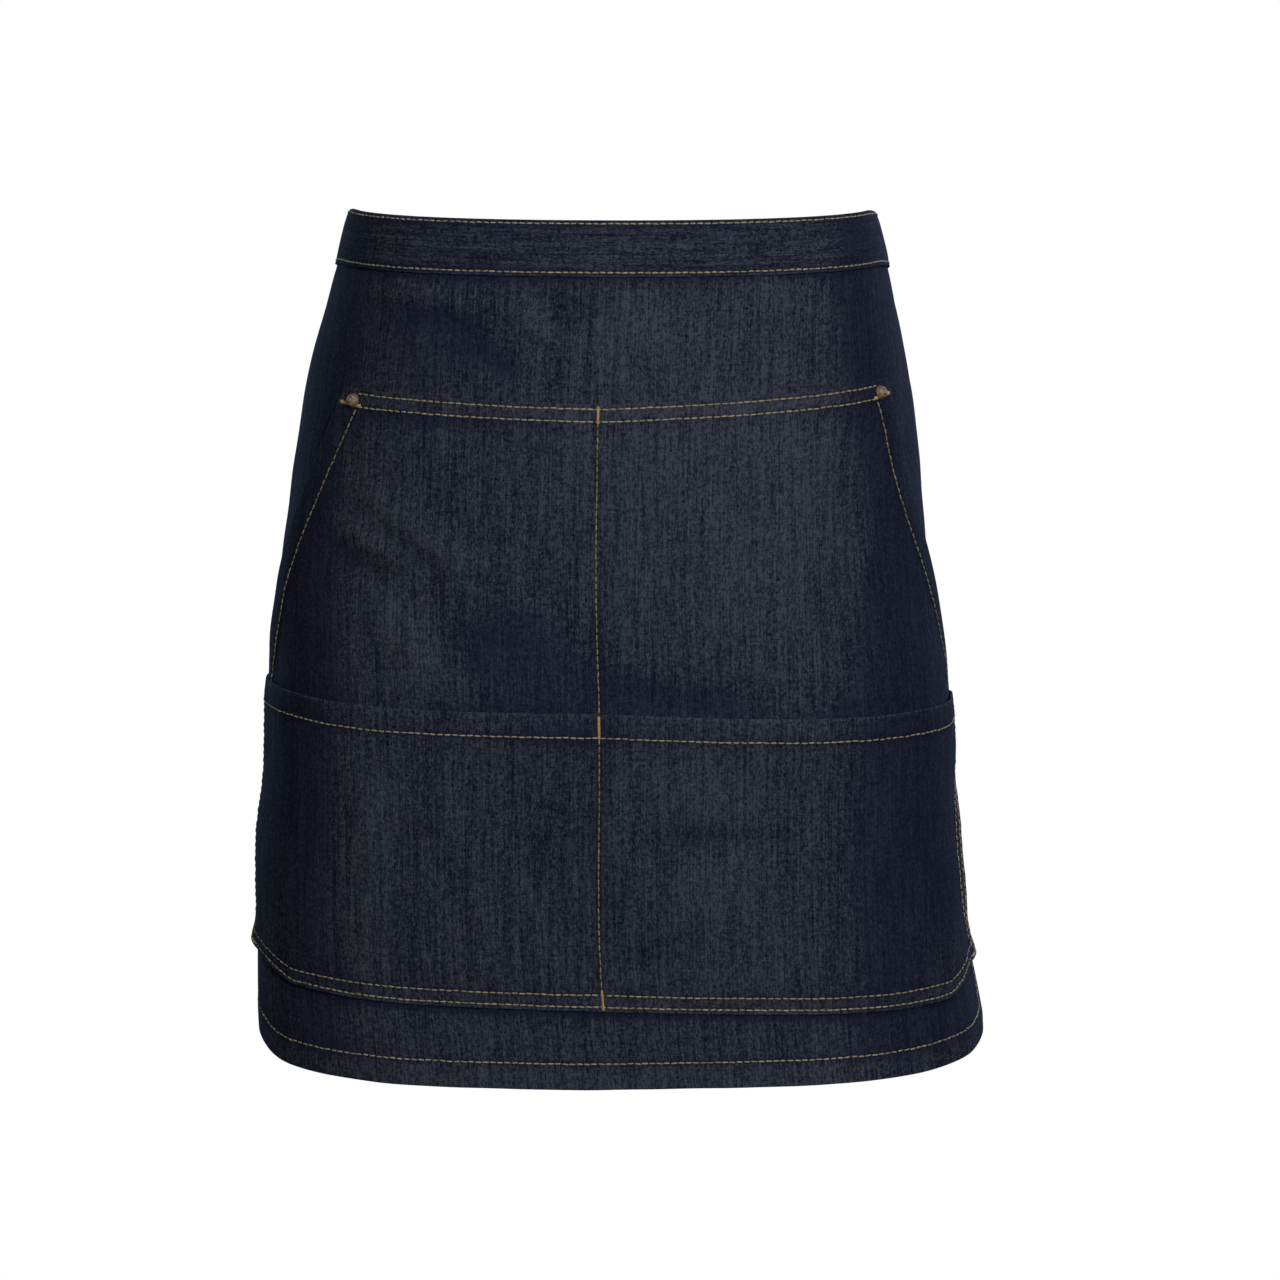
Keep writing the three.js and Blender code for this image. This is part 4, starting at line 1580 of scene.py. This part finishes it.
class Needle:
    """Models one stitch and lays copies of it along rows."""

    PITCH = 3.85
    LENGTH, WIDTH, HEIGHT = 3.65, 0.98, 0.72

    def __init__(self) -> None:
        """Shape a stitch from a small sphere: long, low, with both ends dipped into the cloth."""
        bpy.ops.object.select_all(action="DESELECT")
        bpy.ops.mesh.primitive_uv_sphere_add(segments=6, ring_count=5, radius=0.5)
        stitch = bpy.context.object
        bpy.ops.object.mode_set(mode="EDIT")
        bpy.ops.mesh.select_all(action="SELECT")
        bpy.ops.transform.rotate(value=math.pi / 2.0, orient_axis="Y", center_override=(0.0, 0.0, 0.0))
        ends = bmesh.from_edit_mesh(stitch.data)
        for vert in ends.verts:
            vert.select = abs(vert.co.x) > 0.3
        ends.select_flush_mode()
        bmesh.update_edit_mesh(stitch.data)
        bpy.ops.transform.translate(value=(0.0, 0.0, -0.22))
        bpy.ops.object.mode_set(mode="OBJECT")
        self.points = np.array([vert.co for vert in stitch.data.vertices])
        self.faces = [list(face.vertices) for face in stitch.data.polygons]
        bpy.data.objects.remove(stitch, do_unlink=True)

    def lay(self, places: Array, ways: Array, outs: Array, sizes: Array) -> Array:
        """Points of one copy per stitch.

        Args:
            places: Middles in mm.
            ways: Directions along the stitches.
            outs: Directions out of the cloth.
            sizes: Length, width and height of each stitch.

        Returns:
            Points, stitch by stitch.
        """
        axes = (ways, np.cross(outs, ways), outs)
        local = self.points[None] * sizes[:, None, :]
        return places[:, None] + sum(local[..., i, None] * axis[:, None] for i, axis in enumerate(axes))


Face = Callable[[Array, Array], Array]
Spot = tuple[float, float]


class Sewing:
    """Collects stitches for one thread and makes them into a piece."""

    STEP = 0.9
    SCATTER, SLANT, SPREAD, TONES = 0.07, 0.05, 0.04, 0.2
    TACK_PITCH, TACK_SLANT, TACK_SPREAD, TACK_SHINE = 0.42, 0.12, 0.06, 0.5
    TACK_WIDTH, TACK_HEIGHT = 0.62, 0.7

    def __init__(self, needle: Needle, seed: int) -> None:
        """Start with no stitches."""
        self.needle = needle
        self.dice = np.random.default_rng(seed)
        self.copies: list[Array] = []
        self.tones: list[Array] = []

    def _frame(self, face: Face, places: Array, ways: Array, flip: bool) -> tuple[Array, Array, Array]:
        """Points, directions along and directions out of a face at places on the cloth."""
        a, d = places.T
        u, v = self.STEP * ways.T
        middle = face(a, d)
        along = face(a + u, d + v) - face(a - u, d - v)
        across = face(a - v, d + u) - face(a + v, d - u)
        along /= np.linalg.norm(along, axis=1, keepdims=True)
        out = np.cross(across, along)
        out /= np.linalg.norm(out, axis=1, keepdims=True)
        return middle, along, -out if flip else out

    def row(self, face: Face, row: SewnRow, flip: bool = False, lift: float = 0.16) -> None:
        """Sew one row of stitches.

        Args:
            face: The face that the stitches lie on.
            row: Where the row runs.
            flip: True where the face looks the other way.
            lift: Height of the stitches' middles.
        """
        places, ways = row.walk(Needle.PITCH)
        places = places + self.dice.normal(0.0, self.SCATTER, places.shape)
        angles = self.dice.normal(0.0, self.SLANT, len(ways))
        ways = np.stack([ways[:, 0] - ways[:, 1] * angles, ways[:, 1] + ways[:, 0] * angles], -1)
        middle, along, out = self._frame(face, places, ways, flip)
        size = np.array((Needle.LENGTH, Needle.WIDTH, Needle.HEIGHT))
        sizes = size * self.dice.normal(1.0, self.SPREAD, (len(places), 3))
        self._lay(middle + out * lift, along, out, sizes, row.shine)

    def _lay(self, places: Array, ways: Array, outs: Array, sizes: Array, shine: float) -> None:
        """Keep copies of the stitch, each with a tone about the given one."""
        self.copies.append(self.needle.lay(places, ways, outs, sizes))
        self.tones.append(shine + self.dice.uniform(-self.TONES, self.TONES, len(places)))

    def tack(self, face: Face, start: Spot, end: Spot, width: float, lift: float = 0.35) -> None:
        """Sew a bar tack: close stitches across a short line.

        Args:
            face: The face that it lies on.
            start: One end on the cloth.
            end: The other end.
            width: Length of the stitches across the bar.
            lift: Height of its middle.
        """
        line = np.array((start, end), float)
        run = float(np.linalg.norm(line[1] - line[0]))
        count = max(3, round(run / self.TACK_PITCH))
        shares = (np.arange(count) + 0.5) / count
        places = line[0] + shares[:, None] * (line[1] - line[0])
        way = (line[1] - line[0]) / run
        slants = self.dice.normal(0.0, self.TACK_SLANT, (count, 1))
        ways = np.repeat([(-way[1], way[0])], count, 0) + way * slants
        ways /= np.linalg.norm(ways, axis=1, keepdims=True)
        middle, along, out = self._frame(face, places, ways, False)
        size = np.array((width, self.TACK_WIDTH, self.TACK_HEIGHT))
        sizes = size * self.dice.normal(1.0, self.TACK_SPREAD, (count, 3))
        self._lay(middle + out * lift, along, out, sizes, self.TACK_SHINE)

    def build(self, name: str, thread: bpy.types.Material) -> None:
        """Make the stitches one piece, with a "tone" for each stitch.

        Args:
            name: The piece's name.
            thread: Its finish.
        """
        points = np.concatenate(self.copies)
        count, corners = points.shape[:2]
        faces = [
            [corner + n * corners for corner in face] for n in range(count) for face in self.needle.faces
        ]
        piece = mesh_object(name, points.reshape(-1, 3), faces)
        piece.data.materials.append(thread)
        point_attribute(piece, "tone", np.repeat(np.concatenate(self.tones), corners))
        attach(piece, BODY)
        LOG.info("%s: %d stitches", name, count)


@dataclass
class Seamstress:
    """Sews every row and tack of the apron."""

    skirt: Skirt
    band: Waistband
    upper: UpperPocket
    lower: LowerPocket
    strips: list[Strip]
    needle: Needle = field(default_factory=Needle)

    INSIDE_LIFT = 0.1

    def sew(self, thread: bpy.types.Material, tack_thread: bpy.types.Material) -> None:
        """Make the stitches of each panel, those that show inside, and the tacks.

        Args:
            thread: Finish of the seams.
            tack_thread: Finish of the bar tacks.
        """
        for number, panel in enumerate((self.skirt, self.band, self.upper, self.lower)):
            sewing = Sewing(self.needle, 20 + number)
            for row in panel.rows:
                sewing.row(panel.surface, row)
            sewing.build(f"stitches_{panel.node}", thread)
        self._inside().build("stitches_inside", thread)
        self._ties().build("stitches_ties", thread)
        self._tacks().build("bar_tacks", tack_thread)

    def _inside(self) -> Sewing:
        """The under-thread of every row that goes through to the inside."""
        sewing = Sewing(self.needle, 31)
        for row in self.skirt.rows:
            sewing.row(self.skirt.underside, row, True, self.INSIDE_LIFT)
        for row in self.band.rows[:2]:
            sewing.row(self.band.underside, row, True, self.INSIDE_LIFT)
        for panel in (self.upper, self.lower):
            for row in panel.rows:
                if row.through:
                    sewing.row(lambda a, d, p=panel: self._behind(p, a, d), row, True, self.INSIDE_LIFT)
        return sewing

    def _behind(self, panel: Panel, across: Array, drop: Array) -> Array:
        """The skirt's inner face behind a place on a pocket."""
        return self.skirt.underside(*panel.settle(across, drop))

    def _ties(self) -> Sewing:
        """Edge rows of the ties, tails and knot."""
        sewing = Sewing(self.needle, 32)
        for strip in self.strips:
            for row in strip.rows():
                sewing.row(strip.surface, row, self._inward(strip))
        return sewing

    @staticmethod
    def _inward(strip: Strip) -> bool:
        """True where a strip's walk makes its outer face look inwards."""
        along, across = np.array([strip.length / 2.0]), np.array([0.0])
        face, under = strip.surface(along, across)[0], strip.underside(along, across)[0]
        ahead = strip.surface(along + 1.0, across)[0] - face
        aside = strip.surface(along, across + 1.0)[0] - face
        return float(np.dot(np.cross(aside, ahead), face - under)) < 0.0

    def _tacks(self) -> Sewing:
        """Bar tacks at the seam's ends, over the low pocket's hem, at the rivets and at its corners."""
        sewing = Sewing(self.needle, 33)
        upper, lower = self.upper, self.lower
        first, second = upper.twin
        sewing.tack(upper.surface, (SEAM, upper.top + first - 1.5), (SEAM, upper.top + second + 1.0), 1.6)
        sewing.tack(lower.surface, (SEAM, lower.mouth + 1.0), (SEAM, lower.mouth + lower.hem + 0.5), 1.7)
        sewing.tack(lower.surface, (SEAM, lower.foot - 11.5), (SEAM, lower.foot - 0.8), 1.5)
        for side in Side:
            low = upper.top + second
            edge = side.value * (upper.half(low) - 3.5)
            sewing.tack(upper.surface, (edge, low - 1.4), (edge - side.value * 14.0, low - 0.4), 2.2)
            corner = side.value * (lower.half(lower.mouth) - 2.5)
            sewing.tack(lower.surface, (corner, lower.mouth + 1.2), (corner, lower.mouth + 8.0), 1.5)
            tip = lower.side - 1.4
            sewing.tack(
                lower.surface, (side.value * tip, float(lower.foot_line(tip, 2.2))),
                (side.value * (tip - 6.0), float(lower.foot_line(tip - 6.0, 2.2))), 1.6,
            )
        return sewing


# ---------------------------------------------------------------- rivets


@dataclass
class Rivet:
    """A capped rivet through the pocket's corner, with a burr behind the skirt."""

    form: WornForm
    side: Side
    across: float = 146.7
    drop: float = 94.9
    tilt: float = 1.7
    cap: float = 3.8
    rim: float = 0.8
    burr: float = 3.6
    post: float = 1.5
    foot: float = 2.7

    CAP_STEPS = (
        (0.2, 0.85), (0.35, 0.75), (0.45, 0.5), (0.45, 0.18), (0.25, -0.3), (0.25, 0.0), (0.2, 0.45),
        (0.4, 0.3), (0.4, 0.08),
    )
    BURR_STEPS = ((1.6, 0.0), (0.3, 0.25), (0.4, -0.35))
    # Radii of the cap's sunk ring, which is darkened: patina and painted shade.
    RING = (1.3, 1.8)

    @staticmethod
    def _pick_end(piece: bpy.types.Object, way: int) -> None:
        """Select the face on the axis that looks up (1) or down (-1), in edit mode."""
        shape = bmesh.from_edit_mesh(piece.data)
        bpy.ops.mesh.select_all(action="DESELECT")
        for face in shape.faces:
            if way * face.normal.z > 0.9 and face.calc_center_median().xy.length < 0.05:
                face.select = True
        shape.select_flush_mode()
        bmesh.update_edit_mesh(piece.data)

    @staticmethod
    def _blank(corners: int, radius: float, depth: float, height: float) -> bpy.types.Object:
        """Start from a cylinder about the rivet's axis, and leave it in edit mode."""
        bpy.ops.object.select_all(action="DESELECT")
        bpy.ops.mesh.primitive_cylinder_add(
            vertices=corners, radius=radius, depth=depth, location=(0.0, 0.0, height)
        )
        bpy.ops.object.transform_apply(location=True, rotation=True, scale=True)
        bpy.ops.object.mode_set(mode="EDIT")
        return bpy.context.object

    def _terrace(self, piece: bpy.types.Object, way: int, steps: Sequence[tuple[float, float]]) -> None:
        """Step an end in, ring by ring, by (thickness, rise)."""
        for thickness, rise in steps:
            self._pick_end(piece, way)
            bpy.ops.mesh.inset(thickness=thickness, depth=0.0)
            bpy.ops.transform.translate(value=(0.0, 0.0, rise))

    def _cap(self) -> bpy.types.Object:
        """Model the cap from a short cylinder: rounded rim, sunk ring and raised nub."""
        piece = self._blank(40, self.cap, self.rim, self.foot + self.rim / 2.0)
        self._pick_end(piece, 1)
        bpy.ops.mesh.bevel(offset=self.rim / 2.0, segments=3, affect="EDGES")
        self._terrace(piece, 1, self.CAP_STEPS)
        self._pick_end(piece, 1)
        bpy.ops.mesh.poke()
        bpy.ops.object.mode_set(mode="OBJECT")
        return piece

    def _shank(self) -> bpy.types.Object:
        """Model the burr and post from a cylinder: a disc with a rounded edge, drawn up into the post."""
        piece = self._blank(32, self.burr, 0.7, -0.6)
        self._pick_end(piece, -1)
        bpy.ops.mesh.bevel(offset=0.25, segments=2, affect="EDGES")
        self._terrace(piece, -1, self.BURR_STEPS)
        self._pick_end(piece, 1)
        bpy.ops.mesh.inset(thickness=self.burr - self.post, depth=0.0)
        rise = (0.0, 0.0, self.foot + self.rim / 2.0)
        bpy.ops.mesh.extrude_region_move(TRANSFORM_OT_translate={"value": rise})
        bpy.ops.object.mode_set(mode="OBJECT")
        return piece

    def _seat(self) -> Matrix:
        """Where the rivet stands: its axis along the cloth's own normal, in metres."""
        across, drop = self.side.value * self.across, self.drop - self.side.value * self.tilt
        at = lambda a, d: Vector(self.form.cloth(np.array(a), np.array(d), np.array(0.0)))
        along = at(across + 1.0, drop) - at(across - 1.0, drop)
        down = at(across, drop + 1.0) - at(across, drop - 1.0)
        turn = Vector((0.0, 0.0, 1.0)).rotation_difference(down.cross(along).normalized())
        return Matrix.LocRotScale(at(across, drop) * MM, turn, Vector((MM, MM, MM)))

    def build(self, brass: bpy.types.Material) -> None:
        """Join the cap and shank, set them in the cloth and mark where they wear, with patina and painted
        shade in the sunk ring.
        """
        cap, shank = self._cap(), self._shank()
        bpy.ops.object.select_all(action="DESELECT")
        shank.select_set(True)
        cap.select_set(True)
        bpy.context.view_layer.objects.active = cap
        bpy.ops.object.join()
        heights = np.array([vert.co.z for vert in cap.data.vertices])
        reach = np.array([vert.co.xy.length for vert in cap.data.vertices])
        wear = np.clip(0.3 + (heights - self.foot - self.rim / 2.0) * 0.1, 0.0, 1.0)
        wear = wear * np.where(reach > self.burr, 0.7, 1.0)
        # Darken the sunk ring: patina and painted shade.
        wear = wear * np.where((reach > self.RING[0]) & (reach < self.RING[1]), 0.3, 1.0)
        cap.name = cap.data.name = f"rivet_{self.side.name.lower()}_brass"
        point_attribute(cap, "wear", np.where(heights < 0.0, 0.35, wear))
        cap.data.materials.clear()
        cap.data.materials.append(brass)
        bpy.ops.object.shade_smooth_by_angle(angle=math.radians(40.0))
        cap.matrix_world = self._seat()
        bpy.ops.object.transform_apply(location=True, rotation=True, scale=True)
        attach(cap, BODY)
        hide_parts(f"rivet_{self.side.name.lower()}")
        LOG.info("%s: %d faces", cap.name, len(cap.data.polygons))


# ---------------------------------------------------------------- studio


@dataclass(frozen=True)
class Lamp:
    """A soft rectangular light that looks at the apron. Its distance and size are in metres."""

    name: str
    azimuth: float
    elevation: float
    distance: float
    size: tuple[float, float]
    power: float
    colour: Colour = (1.0, 1.0, 1.0)

    def build(self, aim: Vector) -> None:
        """Hang the light. Azimuth 0 is in front of the apron and 90 is on its right."""
        turn, rise = math.radians(self.azimuth), math.radians(self.elevation)
        away = Vector((math.sin(turn) * math.cos(rise), -math.cos(turn) * math.cos(rise), math.sin(rise)))
        data = bpy.data.lights.new(self.name, "AREA")
        data.shape = "RECTANGLE"
        data.size, data.size_y = self.size
        data.energy, data.color = self.power, self.colour
        lamp = bpy.data.objects.new(self.name, data)
        lamp.location = aim + away * self.distance
        lamp.rotation_euler = (-away).to_track_quat("-Z", "Y").to_euler()
        lamp.visible_camera = False
        bpy.context.scene.collection.objects.link(lamp)


@dataclass
class Studio:
    """Camera, lights and a plain pale floor, whose height is in metres."""

    distance: float = 1813.6
    swing: float = 0.0457
    height: float = 136.4
    aside: float = 15.2
    aim_height: float = -243.5
    focal_pixels: float = 3285.0
    picture: float = 1280.0
    floor_height: float = -0.62
    lamps: tuple[Lamp, ...] = (
        Lamp("key", 18.0, 26.0, 2.2, (0.5, 0.5), 28.0),
        Lamp("front_fill", -10.0, 4.0, 2.4, (1.2, 1.2), 2.6),
        Lamp("right_edge", 142.0, 12.0, 2.0, (0.5, 1.2), 18.0, (0.48, 0.62, 1.0)),
        Lamp("left_edge", -138.0, 4.0, 2.0, (0.5, 1.2), 13.0, (0.50, 0.66, 1.0)),
        Lamp("back_fill", 180.0, 28.0, 2.4, (1.4, 1.4), 14.0),
        Lamp("overhead", 0.0, 88.0, 2.0, (1.2, 1.2), 3.0),
    )

    def build(self) -> None:
        """Set up the whole studio."""
        aside = (math.cos(self.swing) * self.aside, math.sin(self.swing) * self.aside)
        aim = Vector((*aside, self.aim_height)) * MM
        self._camera(aim)
        for lamp in self.lamps:
            lamp.build(aim)
        self._floor()
        self._surround()
        bpy.context.scene.view_settings.view_transform = "Standard"
        LOG.info("studio: %d lights", len(self.lamps))

    def _camera(self, aim: Vector) -> None:
        """Stand the camera where the photograph was taken from."""
        data = bpy.data.cameras.new("camera")
        data.sensor_width = 36.0
        data.lens = self.focal_pixels / self.picture * data.sensor_width
        camera = bpy.data.objects.new("camera", data)
        camera.location = Vector(
            (math.sin(self.swing) * self.distance, -math.cos(self.swing) * self.distance, self.height)
        ) * MM
        camera.rotation_euler = (aim - camera.location).to_track_quat("-Z", "Y").to_euler()
        bpy.context.scene.collection.objects.link(camera)
        bpy.context.scene.camera = camera

    def _floor(self) -> None:
        """Lay a round pale floor well below the hem. It lights nothing."""
        bpy.ops.object.select_all(action="DESELECT")
        place = (0.0, 0.0, self.floor_height)
        bpy.ops.mesh.primitive_circle_add(vertices=64, radius=12.0, fill_type="NGON", location=place)
        floor = bpy.context.object
        floor.name = "floor"
        bpy.ops.object.transform_apply(location=True, rotation=True, scale=True)
        bench = Bench("pale_floor")
        floor.data.materials.append(
            bench.finish(bench.node("ShaderNodeEmission", None, {"Color": WHITE, "Strength": 1.0}))
        )
        floor.visible_diffuse = floor.visible_glossy = floor.visible_shadow = False

    @staticmethod
    def _surround() -> None:
        """White behind the apron, and a dim even light all round it."""
        bench = Bench("surround", "worlds")
        seen = bench.node("ShaderNodeLightPath", out="Is Camera Ray")
        dim, white = (
            bench.node("ShaderNodeBackground", None, {"Color": WHITE, "Strength": strength})
            for strength in (0.03, 1.0)
        )
        mixed = bench.node("ShaderNodeMixShader", None, {0: seen, 1: dim, 2: white})
        bench.node("ShaderNodeOutputWorld", None, {"Surface": mixed})
        bpy.context.scene.world = bench.owner


def main() -> None:
    """Build the apron piece by piece, then the studio."""
    logging.basicConfig(level=logging.INFO, format="%(name)s %(message)s")
    face, strip, reverse = FACE.make(), STRIP.make(), REVERSE.make()
    form = WornForm()
    skirt, band, upper, lower = Skirt(form), Waistband(form), UpperPocket(form), LowerPocket(form)
    for panel, finish in ((skirt, face), (upper, face), (lower, face), (band, strip)):
        panel.build(finish, reverse)
    knot_drop = 14.25 + float(form.back_fall(form.half_round(60.5)))
    strips: list[Strip] = [KnotWrap(form)]
    strips += [Tie(form, side, knot_drop=knot_drop) for side in Side]
    strips += [Tail(form, side, knot_drop=knot_drop) for side in Side]
    for piece in strips:
        piece.build(strip, reverse)
    Seamstress(skirt, band, upper, lower, strips).sew(SEAM_THREAD.make(), TACK_THREAD.make())
    brass = BRASS.make()
    for side in Side:
        Rivet(form, side).build(brass)
    Studio().build()


if __name__ == "__main__":
    main()
